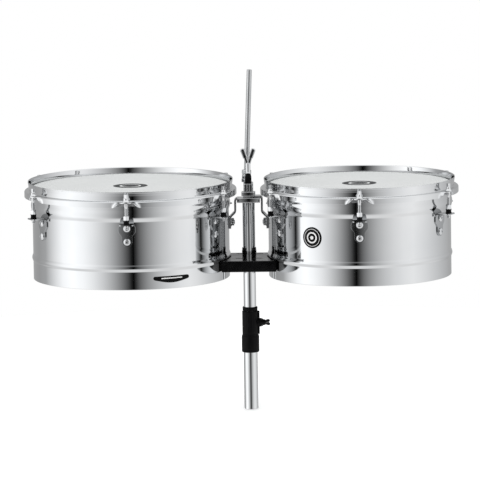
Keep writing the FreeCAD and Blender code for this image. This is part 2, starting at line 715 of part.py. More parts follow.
def make_cradle(left, right):
    """Black plate whose curved sides hug both shells, with four slots and cut front corners."""
    body = new_body("cradle_plate")
    plan = new_sketch(body, "cradle_plan", "XY_Plane", lift=S.cradle_low)
    add_outline(plan, [
        (cradle_side(left, S.cradle_front), -S.cradle_front),
        (cradle_side(right, S.cradle_front), -S.cradle_front, right.radius + S.seat_gap, 1),
        (cradle_side(right, S.cradle_back), S.cradle_back),
        (cradle_side(left, S.cradle_back), S.cradle_back, left.radius + S.seat_gap, 1),
    ])
    add_circle(plan, 0, 0, S.post_radius + S.running_gap)
    for x in (-SLOT_PLACE, SLOT_PLACE):
        for y in SLOT_ROWS:
            add_outline(plan, [
                (x - SLOT_HALF, y - SLOT_DEPTH), (x + SLOT_HALF, y - SLOT_DEPTH),
                (x + SLOT_HALF, y + SLOT_DEPTH), (x - SLOT_HALF, y + SLOT_DEPTH),
            ])
    pad(body, "cradle_block", plan, S.cradle_top - S.cradle_low)
    corners = new_sketch(body, "cradle_corner_cuts", "XZ_Plane")
    middle = (S.cradle_low + S.cradle_top) * 0.5 - CORNER_DROP
    for side in (-1, 1):
        tip = side * CORNER_TIP
        for start, level, out, meet in (
                (side * CORNER_TOP, S.cradle_top, CORNER_SPARE, middle),
                (side * CORNER_LOW, S.cradle_low, -CORNER_SPARE, middle - CORNER_DROP)):
            add_outline(corners, [
                (start, level), (tip, meet), (tip, level + out), (start, level + out),
            ])
    cut(body, "cradle_corners", corners, FAR * 5, symmetric=True)
    low = S.cradle_low + SEAT_INSET_LOW
    high = S.cradle_top - SEAT_INSET_TOP
    for drum in (left, right):
        seat = new_body(f"cradle_seat_{drum.side}")
        turn(seat, f"{drum.side}_seat_strip", [
            (drum.radius, low), (drum.radius + S.seat_gap, low),
            (drum.radius + S.seat_gap, high), (drum.radius, high),
        ], angle=SEAT_SWEEP)
        aim = -SEAT_AIM if drum.direction < 0 else 180 + SEAT_AIM
        place(seat, drum.centre, 0, 0, angle=aim)


def make_collar():
    """Split collar on the cradle, and the pin that holds it on the post."""
    body = new_body("cradle_collar")
    turn(body, "collar_ring", [
        (S.post_radius, S.cradle_top), (S.post_radius + COLLAR_WALL, S.cradle_top),
        (S.post_radius + COLLAR_WALL, COLLAR_TOP), (S.post_radius, COLLAR_TOP),
    ], angle=COLLAR_SWEEP)
    hole = new_sketch(body, "collar_pin_place", "XZ_Plane")
    add_circle(hole, 0, PIN_HEIGHT, PIN_RADIUS)
    cut(body, "collar_pin_hole", hole, FAR, symmetric=True)
    place(body, angle=90)
    pin = disc("cradle_pin", PIN_RADIUS, -S.post_radius - PIN_PROUD, S.post_radius + PIN_PROUD)
    place(pin, 0, 0, PIN_HEIGHT, axis=(0, 1, 0), angle=90)


def make_top_bar():
    """Channel on the post's end that carries the arms."""
    body = new_body("top_bar")
    side = new_sketch(body, "bar_side", "YZ_Plane")
    inner = S.arm_half + SEAT_PLAY
    top = S.left_arm_low + S.arm_sheet
    add_outline(side, [
        (-S.bar_depth, S.post_top), (S.bar_depth, S.post_top), (S.bar_depth, top), (inner, top),
        (inner, S.left_arm_low), (-inner, S.left_arm_low), (-inner, top), (-S.bar_depth, top),
    ])
    pad(body, "bar_channel", side, S.bar_half * 2, symmetric=True)
    hole = new_sketch(body, "bar_hole_place", "XY_Plane", lift=S.left_arm_low)
    add_circle(hole, 0, 0, S.wing_bolt_radius + S.running_gap)
    cut(body, "bar_hole", hole, FAR)


def make_block(name, half_x, front, back, low, high, bore_high):
    """Rectangular block, bored for the wing bolt, with its upright edges chamfered."""
    body = new_body(name)
    plan = new_sketch(body, f"{name}_plan", "XY_Plane", lift=low)
    corner = BLOCK_CHAMFER
    add_outline(plan, [
        (corner - half_x, -front), (half_x - corner, -front), (half_x, corner - front),
        (half_x, back - corner), (half_x - corner, back), (corner - half_x, back),
        (-half_x, back - corner), (-half_x, corner - front),
    ])
    pad(body, f"{name}_block", plan, high - low)
    hole = new_sketch(body, f"{name}_bore_place", "XY_Plane", lift=bore_high)
    add_circle(hole, 0, 0, S.wing_bolt_radius + S.running_gap)
    cut(body, f"{name}_bore", hole, bore_high - low + 1)
    return body


def make_holder():
    """Clamp plate, and the holder block with its eye and cap that carry the cowbell rod."""
    plate_low = S.left_arm_low + S.arm_sheet * 2
    make_block("top_clamp_plate", half_x=12.4, front=11, back=11, low=plate_low,
               high=S.clamp_plate_top, bore_high=S.clamp_plate_top)
    holder = make_block("holder_block", half_x=8.5, front=9, back=S.holder_back + HOLDER_END,
                        low=S.clamp_plate_top + SEAT_PLAY, high=S.block_top,
                        bore_high=S.block_top)
    socket = new_sketch(holder, "socket_place", "XY_Plane", lift=S.block_top)
    add_circle(socket, SOCKET_PLACE - S.cowbell_shift, S.holder_back,
               S.cowbell_foot_radius + SOCKET_PLAY)
    cut(holder, "socket", socket, S.block_top - S.cowbell_low + SEAT_PLAY)
    foot = S.block_top - S.cowbell_low + SEAT_PLAY
    eye = ring("rod_eye", S.cowbell_foot_radius + S.running_gap, EYE_RADIUS, foot,
               foot + EYE_HEIGHT)
    place_leaning(eye)
    ring("rod_cap", S.wing_bolt_radius + S.running_gap, CAP_RADIUS, S.block_top, CAP_TOP)


def make_cowbell_rod():
    """Rod with a thinner foot, leaning slightly towards the smaller drum."""
    body = new_body("cowbell_rod")
    radius = S.cowbell_radius
    foot = S.cowbell_foot_radius
    turn(body, "cowbell_rod_turned", [
        (0, 0), (foot - 1, 0), (foot, 1), (foot, S.cowbell_foot), (radius, S.cowbell_foot),
        (radius, S.cowbell_length - 1),
        (radius - 1, S.cowbell_length), (0, S.cowbell_length),
    ])
    place_leaning(body)


def place_leaning(body):
    """Body's axis along the cowbell rod's, from the rod's foot."""
    place(body, -S.cowbell_shift, S.holder_back, S.cowbell_low, axis=(0, 1, 0),
          angle=S.cowbell_lean.value)
    body.setExpression("Placement.Rotation.Angle", S.cowbell_lean.text)


# ---------------------------------------------------------------- fixed details, in millimetres

ARM_BOLT_RADIUS = 4
ARM_BOLT_REACH = 7
ARM_HEAD_RADIUS = 7
ARM_HEAD_HEIGHT = 4
ARM_NUT_HEIGHT = 4
WASHER_RADIUS = 8
WASHER_SHEET = 1.6
ARM_TAIL = 9.5
EAR_PLAY = 0.4
SEAT_PLAY = 0.3
BRACKET_SWEEP = 14
BOLT_CROWN = 9.2
BOLT_RIM = 0.8
BOLT_TAIL = 6
LUG_NUT_HEIGHT = 4
LUG_NUT_PLAY = 0.5
PLATE_SHOULDER = 3
PLATE_BELOW_BOLT = 6
PLATE_ABOVE_BOLT = 10
EAR_ROUND = 10.5
BADGE_GLUE = 0.05
BADGE_SHEET = 1.4
BADGE_SWEEP = 40
BADGE_SIDE = 1
BADGE_TOP_CURVE = 2.4
BADGE_LOW_CURVE = 9
PLUG_DEPTH = 30
CAP_STEP = 0.6
FLANGE = 1.6
WING_ROOT = 3
WING_WIDTH = 5
WING_SHOULDER = 4
WING_BEVEL = 1.4
TIP_CORNER = 1.6
NOTCH = 8
BOSS_RADIUS = 8
BOSS_REACH = 21
PIN_RADIUS = 2.5
PIN_HEIGHT = 288.5
COLLAR_TOP = 295.5
COLLAR_WALL = 1.6
PIN_PROUD = 2
COLLAR_SWEEP = 300
SLOT_PLACE = 17
SLOT_HALF = 6.5
SLOT_DEPTH = 2
SLOT_ROWS = (-37, 27)
CORNER_TIP = 58
CORNER_TOP = 46
CORNER_LOW = 50
CORNER_DROP = 2
CORNER_SPARE = 5
SEAT_SWEEP = 34
SEAT_INSET_LOW = 2
SEAT_INSET_TOP = 4
SEAT_AIM = 6.5
BLOCK_CHAMFER = 1.5
HOLDER_END = 10
SOCKET_PLAY = 0.6
SOCKET_PLACE = 0.25
EYE_HEIGHT = 22
EYE_RADIUS = 8.5
CAP_RADIUS = 6
CAP_TOP = 430
CLAMP_BOLT_TURN = 68

doc = FreeCAD.newDocument("timbales")
names = []
S = make_sheet(doc)


def make_drum(drum):
    make_shell(drum)
    make_head(drum)
    make_rim(drum)
    for rod in range(1, LUG_COUNT + 1):
        make_tension_rod(drum, rod)
    make_receiver_nuts(drum)
    make_lug_brackets(drum)
    make_lug_bolts(drum)
    make_arm_bolt(drum)


def make_everything():
    left = Drum("left", S.left_radius, -1)
    right = Drum("right", S.right_radius, 1)
    for drum in (left, right):
        make_drum(drum)
    make_arm(left, S.left_arm_low)
    make_arm(right, S.left_arm_low + S.arm_sheet)
    make_badge(left, angle=26, low=11, high=28, half_width=35, round_badge=False)
    make_badge(right, angle=-31, low=67, high=105, half_width=19, round_badge=True)
    make_tubes()
    make_clamp()
    bolt = make_wing_bolt("clamp_wing_bolt", neck=5.5, wing_foot=4, wing_top=14.5, wing_half=16,
                          thickness=5, shank_end=-8.5)
    place(bolt, BOSS_REACH + SEAT_PLAY, 0, S.wing_height, axis=(0, 1, 0), angle=90)
    bolt.Placement.Rotation *= FreeCAD.Rotation(FreeCAD.Vector(0, 0, 1), CLAMP_BOLT_TURN)
    make_cradle(left, right)
    make_collar()
    make_top_bar()
    make_holder()
    bolt = make_wing_bolt("top_wing_bolt", neck=4.3, wing_foot=16, wing_top=46, wing_half=13.2,
                          thickness=4, shank_end=-74)
    place(bolt, 0, 0, CAP_TOP + SEAT_PLAY)
    make_cowbell_rod()


def check_and_write():
    """Every object must be sound before any file is written."""
    doc.recompute()
    for item in doc.Objects:
        if {"Invalid", "Error"} & set(item.State):
            raise RuntimeError(f"{item.Label} failed: {item.State}")
    os.makedirs(OUTPUT_FOLDER, exist_ok=True)
    bodies = [doc.getObject(name) for name in names]
    for body in bodies:
        if body.Shape.isNull() or not body.Shape.isValid():
            raise RuntimeError(f"{body.Label} has no valid shape")
    for body in bodies:
        body.Shape.exportStep(os.path.join(OUTPUT_FOLDER, f"{body.Label}.step"))
        print(f"{body.Label}: {len(body.Shape.Solids)} solids, {body.Shape.Volume:.0f} mm3")


make_everything()
check_and_write()
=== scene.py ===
"""Pair of timbales on a height-adjustable post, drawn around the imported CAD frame.

Shapes are worked out in millimetres in the frame's axes (+Z up, -Y towards the player) and
become metres as each piece is finished.  A drum's pieces are built round that drum's own axis.
"""
import json
import math

import bmesh
import bpy
from mathutils import Matrix, Vector


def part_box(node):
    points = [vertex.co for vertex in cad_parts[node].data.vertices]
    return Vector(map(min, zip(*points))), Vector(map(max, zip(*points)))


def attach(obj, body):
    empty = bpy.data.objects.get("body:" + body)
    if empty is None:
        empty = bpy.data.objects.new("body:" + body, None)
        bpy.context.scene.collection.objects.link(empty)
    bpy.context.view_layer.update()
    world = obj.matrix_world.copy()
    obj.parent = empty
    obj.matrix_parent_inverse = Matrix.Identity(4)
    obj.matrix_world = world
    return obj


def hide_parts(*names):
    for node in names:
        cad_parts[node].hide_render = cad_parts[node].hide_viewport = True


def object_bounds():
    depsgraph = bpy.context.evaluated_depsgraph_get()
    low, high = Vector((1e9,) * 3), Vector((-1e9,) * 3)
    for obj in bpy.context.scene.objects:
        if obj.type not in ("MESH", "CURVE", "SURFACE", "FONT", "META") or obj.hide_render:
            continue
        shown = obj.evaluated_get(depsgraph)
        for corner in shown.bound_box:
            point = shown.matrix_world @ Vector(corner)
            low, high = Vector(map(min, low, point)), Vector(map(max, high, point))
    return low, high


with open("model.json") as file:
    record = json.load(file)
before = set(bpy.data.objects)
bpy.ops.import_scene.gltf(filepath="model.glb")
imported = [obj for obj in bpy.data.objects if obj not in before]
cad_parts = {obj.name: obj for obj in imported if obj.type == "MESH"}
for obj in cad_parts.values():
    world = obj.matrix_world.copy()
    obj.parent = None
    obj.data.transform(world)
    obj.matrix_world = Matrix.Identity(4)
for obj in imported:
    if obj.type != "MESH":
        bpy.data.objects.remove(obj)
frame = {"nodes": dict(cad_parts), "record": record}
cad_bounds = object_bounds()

MM = 0.001
MERGE = 0.002
LUGS = 6
NODES = frame["nodes"]


def low_high(node):
    """Corners of a CAD node's box, in millimetres."""
    low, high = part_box(node)
    return low / MM, high / MM


# ---------------------------------------------------------------- shapes: (vertices, faces)

def lathe(profile, steps=96, closed=True, shape=None, sweep=math.tau, start=0.0):
    """A profile of (radius, height) points turned about Z; shape may change the radius."""
    full = sweep >= math.tau
    columns = steps if full else steps + 1
    vertices, faces = [], []
    for i in range(columns):
        angle = start + sweep * i / steps
        for radius, height in profile:
            if shape:
                radius = shape(angle, radius, height)
            vertices.append((radius * math.cos(angle), radius * math.sin(angle), height))
    count = len(profile)
    for i in range(steps):
        j = (i + 1) % columns
        for k in range(count if closed else count - 1):
            m = (k + 1) % count
            faces.append((i * count + k, j * count + k, j * count + m, i * count + m))
    if not full and closed:
        faces.append(tuple(range(count)))
        faces.append(tuple(range(len(vertices) - count, len(vertices)))[::-1])
    return vertices, faces


def grid(rows, wrap=False):
    """Rows of points joined into a sheet; wrap joins the last row to the first."""
    width = len(rows[0])
    vertices = [point for row in rows for point in row]
    faces = []
    for i in range(len(rows) if wrap else len(rows) - 1):
        j = (i + 1) % len(rows)
        for k in range(width - 1):
            faces.append((i * width + k, j * width + k, j * width + k + 1, i * width + k + 1))
    return vertices, faces


def evaluated(obj):
    """Vertices and faces of an object with its modifiers or curve settings, which is removed."""
    graph = bpy.context.evaluated_depsgraph_get()
    mesh = bpy.data.meshes.new_from_object(obj.evaluated_get(graph))
    shape = [v.co.copy() for v in mesh.vertices], [tuple(p.vertices) for p in mesh.polygons]
    data = obj.data
    bpy.data.objects.remove(obj)
    bpy.data.meshes.remove(mesh)
    (bpy.data.meshes if isinstance(data, bpy.types.Mesh) else bpy.data.curves).remove(data)
    return shape


def linked(name, data):
    obj = bpy.data.objects.new(name, data)
    bpy.context.scene.collection.objects.link(obj)
    return obj


def clean_mesh(shape):
    """Mesh of a shape with its doubled points joined and its faces turned outwards."""
    mesh = bpy.data.meshes.new("shape")
    mesh.from_pydata([tuple(v) for v in shape[0]], [], shape[1])
    bm = bmesh.new()
    bm.from_mesh(mesh)
    bmesh.ops.remove_doubles(bm, verts=bm.verts, dist=MERGE)
    bmesh.ops.dissolve_degenerate(bm, edges=bm.edges, dist=MERGE)
    bmesh.ops.recalc_face_normals(bm, faces=bm.faces)
    bm.to_mesh(mesh)
    bm.free()
    return mesh


def modified(shape, *settings):
    """Shape with modifiers, given as (type, values), applied."""
    obj = linked("modified", clean_mesh(shape))
    for kind, values in settings:
        change = obj.modifiers.new(kind, kind)
        for key, value in values.items():
            setattr(change, key, value)
    return evaluated(obj)


def rounded_edges(width, steps=2, angle=40):
    return "BEVEL", {"width": width, "segments": steps, "limit_method": "ANGLE",
                     "angle_limit": math.radians(angle), "harden_normals": False}


def sheet_metal(thickness):
    return "SOLIDIFY", {"thickness": thickness, "offset": 0.0, "use_even_offset": True}


def slab(outlines, thickness, edge=0.4, steps=2):
    """Flat plate in XY, centred on Z: the first outline is its edge and the others are holes."""
    curve = bpy.data.curves.new("slab", "CURVE")
    curve.dimensions = "2D"
    curve.fill_mode = "BOTH"
    curve.extrude = thickness / 2 - edge
    curve.bevel_depth = edge
    curve.bevel_resolution = steps
    curve.offset = -edge
    for outline in outlines:
        spline = curve.splines.new("POLY")
        spline.points.add(len(outline) - 1)
        for point, (x, y) in zip(spline.points, outline):
            point.co = (x, y, 0, 1)
        spline.use_cyclic_u = True
    return evaluated(linked("slab", curve))


def filleted(corners, radii, steps=6, closed=False):
    """Corner points with each corner rounded to its radius (0 keeps it sharp)."""
    points = []
    count = len(corners)
    for i, (x, y) in enumerate(corners):
        here = Vector((x, y))
        if not radii[i] or (not closed and i in (0, count - 1)):
            points.append((x, y))
            continue
        before = (Vector(corners[i - 1]) - here).normalized()
        after = (Vector(corners[(i + 1) % count]) - here).normalized()
        half = before.angle(after) / 2
        reach = radii[i] / math.tan(half)
        centre = here + (before + after).normalized() * (radii[i] / math.sin(half))
        first = here + before * reach - centre
        turn = math.pi - 2 * half
        if first.y * before.x - first.x * before.y < 0:
            turn = -turn
        for k in range(steps + 1):
            angle = turn * k / steps
            points.append((centre.x + first.x * math.cos(angle) - first.y * math.sin(angle),
                           centre.y + first.x * math.sin(angle) + first.y * math.cos(angle)))
    return points


def stroke(points, width):
    """Outline of a band of that width along a line of points."""
    left, right = [], []
    for i, point in enumerate(points):
        before = Vector(points[max(i - 1, 0)])
        after = Vector(points[min(i + 1, len(points) - 1)])
        along = (after - before).normalized()
        side = Vector((-along.y, along.x)) * width / 2
        left.append(tuple(Vector(point) + side))
        right.append(tuple(Vector(point) - side))
    return left + right[::-1]


def circle(radius, x=0.0, y=0.0, steps=48):
    return [(x + radius * math.cos(math.tau * i / steps),
             y + radius * math.sin(math.tau * i / steps)) for i in range(steps)]


def hexagonal(flat):
    """Radius function that keeps a lathe's points inside a hexagon of that half width."""
    def shape(angle, radius, height):
        turned = angle % (math.pi / 3) - math.pi / 6
        return min(radius, flat / math.cos(turned))
    return shape


def square(flat, above):
    """Radius function that squares off what is higher than a height."""
    def shape(angle, radius, height):
        turned = angle % (math.pi / 2) - math.pi / 4
        return min(radius, flat / math.cos(turned)) if height > above else radius
    return shape


def arc(x, z, radius, first, last, steps=6):
    """Points of an arc, its angles in degrees."""
    return [(x + radius * math.cos(math.radians(first + (last - first) * i / steps)),
             z + radius * math.sin(math.radians(first + (last - first) * i / steps)))
            for i in range(steps + 1)]


def smooth(value):
    value = min(max(value, 0.0), 1.0)
    return value * value * (3 - 2 * value)


ALONG_X = Matrix.Rotation(math.radians(90), 4, "Y")
ALONG_MINUS_X = Matrix.Rotation(math.radians(-90), 4, "Y")
FACING_FRONT = Matrix.Rotation(math.radians(90), 4, "X")


def moved(x=0.0, y=0.0, z=0.0):
    return Matrix.Translation((x, y, z))


# ---------------------------------------------------------------- materials

PLATING_WAVE = 0.000004     # metres
HEAD_MARK = (0.0120, 0.0180, 0.0298)     # radii of the printed disc, the gap and the ring


def node_adder(tree):
    """Function that adds a node to a tree, with its settings, its inputs (in_1=...) and links."""
    def add(kind, links=(), **values):
        node = tree.nodes.new("ShaderNode" + kind)
        for key, value in values.items():
            if key.startswith("in_"):
                node.inputs[int(key[3:])].default_value = value
            else:
                setattr(node, key, value)
        for slot, source in links:
            tree.links.new(source, node.inputs[slot])
        return node

    return add


def new_material(name, **sockets):
    """Node material, its shader and the function that adds its nodes."""
    material = bpy.data.materials.new(name)
    material.use_nodes = True
    shader = material.node_tree.nodes["Principled BSDF"]
    for socket, value in sockets.items():
        shader.inputs[socket.replace("_", " ")].default_value = value
    return material, shader, node_adder(material.node_tree)


def noise(add, scale, detail=4.0, stretch=(1, 1, 1)):
    """Fractal noise in the piece's own coordinates."""
    place = add("TexCoord")
    mapping = add("Mapping", [("Vector", place.outputs["Object"])])
    mapping.inputs["Scale"].default_value = stretch
    texture = add("TexNoise", [("Vector", mapping.outputs["Vector"])])
    texture.inputs["Scale"].default_value = scale
    texture.inputs["Detail"].default_value = detail
    return texture.outputs["Fac"]


def ranged(add, source, low, high, start=0.3, end=0.7):
    """Noise spread over a range of values."""
    node = add("MapRange", [("Value", source)])
    for socket, value in (("From Min", start), ("From Max", end), ("To Min", low),
                          ("To Max", high)):
        node.inputs[socket].default_value = value
    return node.outputs["Result"]


def link(material, source, target):
    material.node_tree.links.new(source, target)


def bumped(material, shader, add, source, distance):
    bump = add("Bump", [("Height", source)])
    bump.inputs["Strength"].default_value = 1.0
    bump.inputs["Distance"].default_value = distance
    link(material, bump.outputs["Normal"], shader.inputs["Normal"])


def two_tone(material, shader, add, source, first, second):
    """Base colour that wanders between two tones."""
    ramp = add("ValToRGB", [("Fac", source)])
    for stop, position, tone in zip(ramp.color_ramp.elements, (0.35, 0.65), (first, second)):
        stop.position = position
        stop.color = (*tone, 1)
    link(material, ramp.outputs["Color"], shader.inputs["Base Color"])


def metal(name, dark, light, rough, grain=220.0, stretch=(1, 1, 1)):
    """Plated or plain metal: faint haze, wiping marks and a little waviness."""
    material, shader, add = new_material(name, Metallic=1.0)
    two_tone(material, shader, add, noise(add, 9, 3), dark, light)
    marks = noise(add, grain, 5, stretch)
    link(material, ranged(add, marks, *rough), shader.inputs["Roughness"])
    bumped(material, shader, add, noise(add, 60, 2, stretch), PLATING_WAVE)
    return material


def plastic(name, dark, light, rough, grain=2600.0, bump=0.00002, specular=0.25):
    """Moulded plastic, rubber or powder coat, with a fine grain."""
    material, shader, add = new_material(name, Specular_IOR_Level=specular)
    two_tone(material, shader, add, noise(add, 35, 4), dark, light)
    fine = noise(add, grain, 2)
    link(material, ranged(add, noise(add, 90, 4), *rough), shader.inputs["Roughness"])
    bumped(material, shader, add, fine, bump)
    return material


def film():
    """Matt coated drumhead film with a plain disc and ring printed at its centre."""
    material, shader, add = new_material("head_film", Roughness=0.55, Specular_IOR_Level=0.35)
    place = add("TexCoord")
    flat = add("VectorMath", [(0, place.outputs["Object"])], operation="MULTIPLY")
    flat.inputs[1].default_value = (1, 1, 0)
    reach = add("VectorMath", [(0, flat.outputs["Vector"])], operation="LENGTH")
    ramp = add("ValToRGB", [("Fac", reach.outputs["Value"])])
    ramp.color_ramp.interpolation = "CONSTANT"
    paper, ink = (1, 1, 1, 1), (0.02, 0.021, 0.023, 1)
    disc, gap, ring = HEAD_MARK
    elements = ramp.color_ramp.elements
    elements[0].color = ink
    elements[1].position, elements[1].color = disc, paper
    for position, color in ((gap, ink), (ring, paper)):
        elements.new(position).color = color
    tone = add("ValToRGB", [("Fac", noise(add, 14, 5))])
    tone.color_ramp.elements[0].color = (0.60, 0.612, 0.606, 1)
    tone.color_ramp.elements[1].color = (0.67, 0.678, 0.672, 1)
    mix = add("Mix", data_type="RGBA", blend_type="MULTIPLY")
    mix.inputs["Factor"].default_value = 1.0
    link(material, tone.outputs["Color"], mix.inputs[6])
    link(material, ramp.outputs["Color"], mix.inputs[7])
    link(material, mix.outputs[2], shader.inputs["Base Color"])
    bumped(material, shader, add, noise(add, 1400, 3), 0.00003)
    return material


MATERIALS = {
    "chrome_shell": metal("chrome_shell", (0.57, 0.58, 0.59), (0.61, 0.615, 0.62), (0.03, 0.06),
                          grain=40, stretch=(1, 1, 6)),
    "chrome_rim": metal("chrome_rim", (0.57, 0.58, 0.59), (0.62, 0.625, 0.63), (0.03, 0.06)),
    "chrome_hardware": metal("chrome_hardware", (0.55, 0.56, 0.57), (0.61, 0.615, 0.62),
                             (0.05, 0.11)),
    "chrome_tube": metal("chrome_tube", (0.57, 0.58, 0.585), (0.62, 0.625, 0.63), (0.04, 0.09),
                         grain=120, stretch=(1, 1, 0.1)),
    "zinc_steel": metal("zinc_steel", (0.36, 0.37, 0.385), (0.48, 0.485, 0.49), (0.25, 0.4)),
    "hoop_metal": metal("hoop_metal", (0.4, 0.41, 0.42), (0.5, 0.505, 0.51), (0.3, 0.45)),
    "head_film": film(),
    "black_plastic": plastic("black_plastic", (0.002, 0.002, 0.0022), (0.004, 0.004, 0.0043),
                             (0.3, 0.42), specular=0.06),
    "black_metal": plastic("black_metal", (0.002, 0.002, 0.0022), (0.004, 0.004, 0.0043),
                           (0.12, 0.2), grain=1500, bump=0.00001, specular=0.34),
    "black_rubber": plastic("black_rubber", (0.003, 0.003, 0.003), (0.006, 0.006, 0.006),
                            (0.6, 0.75), grain=3200, specular=0.05),
    "badge_black": plastic("badge_black", (0.002, 0.002, 0.0022), (0.004, 0.004, 0.0042),
                           (0.12, 0.2), grain=700, bump=0.000004, specular=0.06),
    "badge_print": plastic("badge_print", (0.72, 0.72, 0.71), (0.84, 0.84, 0.83),
                           (0.35, 0.45), grain=900, bump=0.000004),
}
# The lug brackets are the same chrome as the other hardware: this darker, rougher copy is painted
# shade standing in for the dark reflections they show.
LUG_CHROME_PAINTED_DARK = metal("lug_chrome_painted_dark", (0.37, 0.38, 0.39), (0.43, 0.435, 0.44), (0.08, 0.16))
ROD_STEEL = metal("rod_steel", (0.42, 0.43, 0.435), (0.5, 0.505, 0.51), (0.24, 0.34),
                  grain=160, stretch=(1, 1, 0.08))


# ---------------------------------------------------------------- pieces

class Piece:
    """A visible piece: shapes are added in millimetres, then it becomes one object."""

    def __init__(self, name, body, slot, *replaced):
        self.name = name
        self.body = body
        self.slot = slot
        self.replaced = replaced
        self.bm = bmesh.new()

    def add(self, shape, matrix=None):
        mesh = clean_mesh(shape)
        if matrix is not None:
            mesh.transform(matrix)
        self.bm.from_mesh(mesh)
        bpy.data.meshes.remove(mesh)
        return self

    def around(self, shape, matrix=None):
        """The shape at each lug, the first at the front; it is built pointing along +X."""
        for i in range(LUGS):
            turn = Matrix.Rotation(math.radians(i * 360 / LUGS - 90), 4, "Z")
            self.add(shape, turn @ (matrix or Matrix()))
        return self

    def finish(self, material=None, place=(0, 0, 0), sharp=32, mesh=None):
        """Object at a place given in millimetres, on its body and with its slot's material."""
        if mesh is None:
            mesh = bpy.data.meshes.new(self.name)
            bmesh.ops.transform(self.bm, matrix=Matrix.Scale(MM, 4), verts=self.bm.verts)
            self.bm.to_mesh(mesh)
            mesh.polygons.foreach_set("use_smooth", [True] * len(mesh.polygons))
            mesh.set_sharp_from_angle(angle=math.radians(sharp))
            mesh.materials.append(material or MATERIALS[self.slot])
        self.bm.free()
        obj = linked(self.name, mesh)
        obj.location = Vector(place) * MM
        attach(obj, self.body)
        if self.replaced:
            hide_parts(*self.replaced)
        return obj


# ---------------------------------------------------------------- drums

# Sizes are in millimetres. Heights in these shapes are above the shell's base or below its top.
BEADS = ((39.0, 7.0, 2.0), (133.0, 12.0, 2.5))     # centre above the base, half height, rise
WALL = 1.2
LIP_PATH = [(7.5, 11.0), (7.2, 11.0), (6.95, 10.8), (6.8, 10.4), (6.65, 9.6), (6.35, 7.6),
            (6.05, 5.6), (5.92, 4.9), (5.84, 4.2), (5.7, 2.4), (5.5, 0.0), (5.35, -2.2),
            (5.42, -3.3), (5.8, -4.25), (6.5, -4.95), (7.5, -5.25), (9.4, -5.3),
            (11.4, -5.3)]  # beyond the shell, above its top
FOLD = LIP_PATH[-1]
SKIRT_BEND = 1.8
SKIRT_LENGTH = 8.4
RIM_SHEET = 1.6
ROD_CIRCLE = 19.0
EAR_REACH = 26.5
EAR_CURVE = 13.3
EAR_HALF = 12.0
EAR_INSET = 0.36            # the drawn ear stays inside the CAD ear's edge
EAR_FADE = 8.0
FLAT_HALF, FLAT_FADE = 10.5, 16.0     # from here the skirt turns down, over that distance
SKIRT_STEPS = 6
SHELF_HEIGHT = 128.0        # top of the lug's shelf and bush
RIM_STEPS = 720


def bead_rise(height):
    """How far the shell's wall bulges at a height above its base."""
    for centre, half, rise in BEADS:
        part = abs(height - centre) / half
        if part < 1:
            return rise * math.cos(part * math.pi / 2) ** 1.35
    return 0.0


def shell_profile(radius, base, top):
    """Closed section of the shell: beads pressed out of the sheet, top edge turned in."""
    levels = [1.0]
    for centre, half, _ in BEADS:
        levels += [centre - half - 3, centre - half - 0.5]
        levels += [centre + half * (k / 10 - 1) for k in range(21)]
        levels += [centre + half + 0.5, centre + half + 3]
    levels.append(top - base - WALL)
    outside = [(radius + bead_rise(level), base + level) for level in levels]
    inside = [(radius - WALL + bead_rise(level), base + level) for level in reversed(levels)]
    bottom = [(radius - WALL, base), (radius - 0.35, base), (radius, base + 0.35)]
    edge = arc(radius - WALL, top - WALL, WALL, 15, 90, 5)
    return bottom + outside + edge + inside


def rim_section(radius, top, off_rod):
    """Middle line of the rim's sheet at an arc distance from the nearest rod."""
    line = [(radius + r, top + z) for r, z in LIP_PATH]
    bend = math.radians(90 * smooth((off_rod - FLAT_HALF) / FLAT_FADE))
    ear = EAR_REACH - EAR_CURVE - FOLD[0] - EAR_INSET
    if off_rod < EAR_HALF:
        length = ear + math.sqrt(EAR_CURVE ** 2 - off_rod ** 2)
    else:
        edge = ear + math.sqrt(EAR_CURVE ** 2 - EAR_HALF ** 2)
        length = edge + (SKIRT_LENGTH - edge) * smooth((off_rod - EAR_HALF) / EAR_FADE)
    x, z = radius + FOLD[0], top + FOLD[1]
    for k in range(1, SKIRT_STEPS + 1):
        turned = bend * k / SKIRT_STEPS
        line.append((x + SKIRT_BEND * math.sin(turned) + 0.02 * k,
                     z - SKIRT_BEND * (1 - math.cos(turned))))
    end_x, end_z = line[-1]
    for k in range(1, SKIRT_STEPS + 1):
        along = length * k / SKIRT_STEPS
        line.append((end_x + along * math.cos(bend), end_z - along * math.sin(bend)))
    return line


def rim_shape(radius, top):
    """Flanged hoop: its skirt flattens into an ear at each rod."""
    rows = []
    between = math.tau / LUGS
    for i in range(RIM_STEPS):
        angle = math.tau * i / RIM_STEPS
        past_front = angle + math.pi / 2
        nearest = between * round(past_front / between)
        off_rod = abs(past_front - nearest) * (radius + ROD_CIRCLE)
        rows.append([(r * math.cos(angle), r * math.sin(angle), z)
                     for r, z in rim_section(radius, top, off_rod)])
    return modified(grid(rows, wrap=True), sheet_metal(RIM_SHEET), rounded_edges(0.45, 2, 50))


def head_profile(radius, top):
    """Film over the bearing edge and down inside the rim."""
    side = radius + 1.2
    upper = [(0, top + 0.4)] + [(radius * part, top + 0.4) for part in (0.2, 0.4, 0.6, 0.8, 0.93)]
    upper += arc(side - 2.4, top - 2.0, 2.4, 90, 0, 8)
    upper += [(side, top - 13.2), (side - 0.4, top - 13.2)]
    upper += arc(side - 2.4, top - 2.0, 2.0, 0, 90, 8)
    return upper + [(radius * 0.5, top), (0, top)]


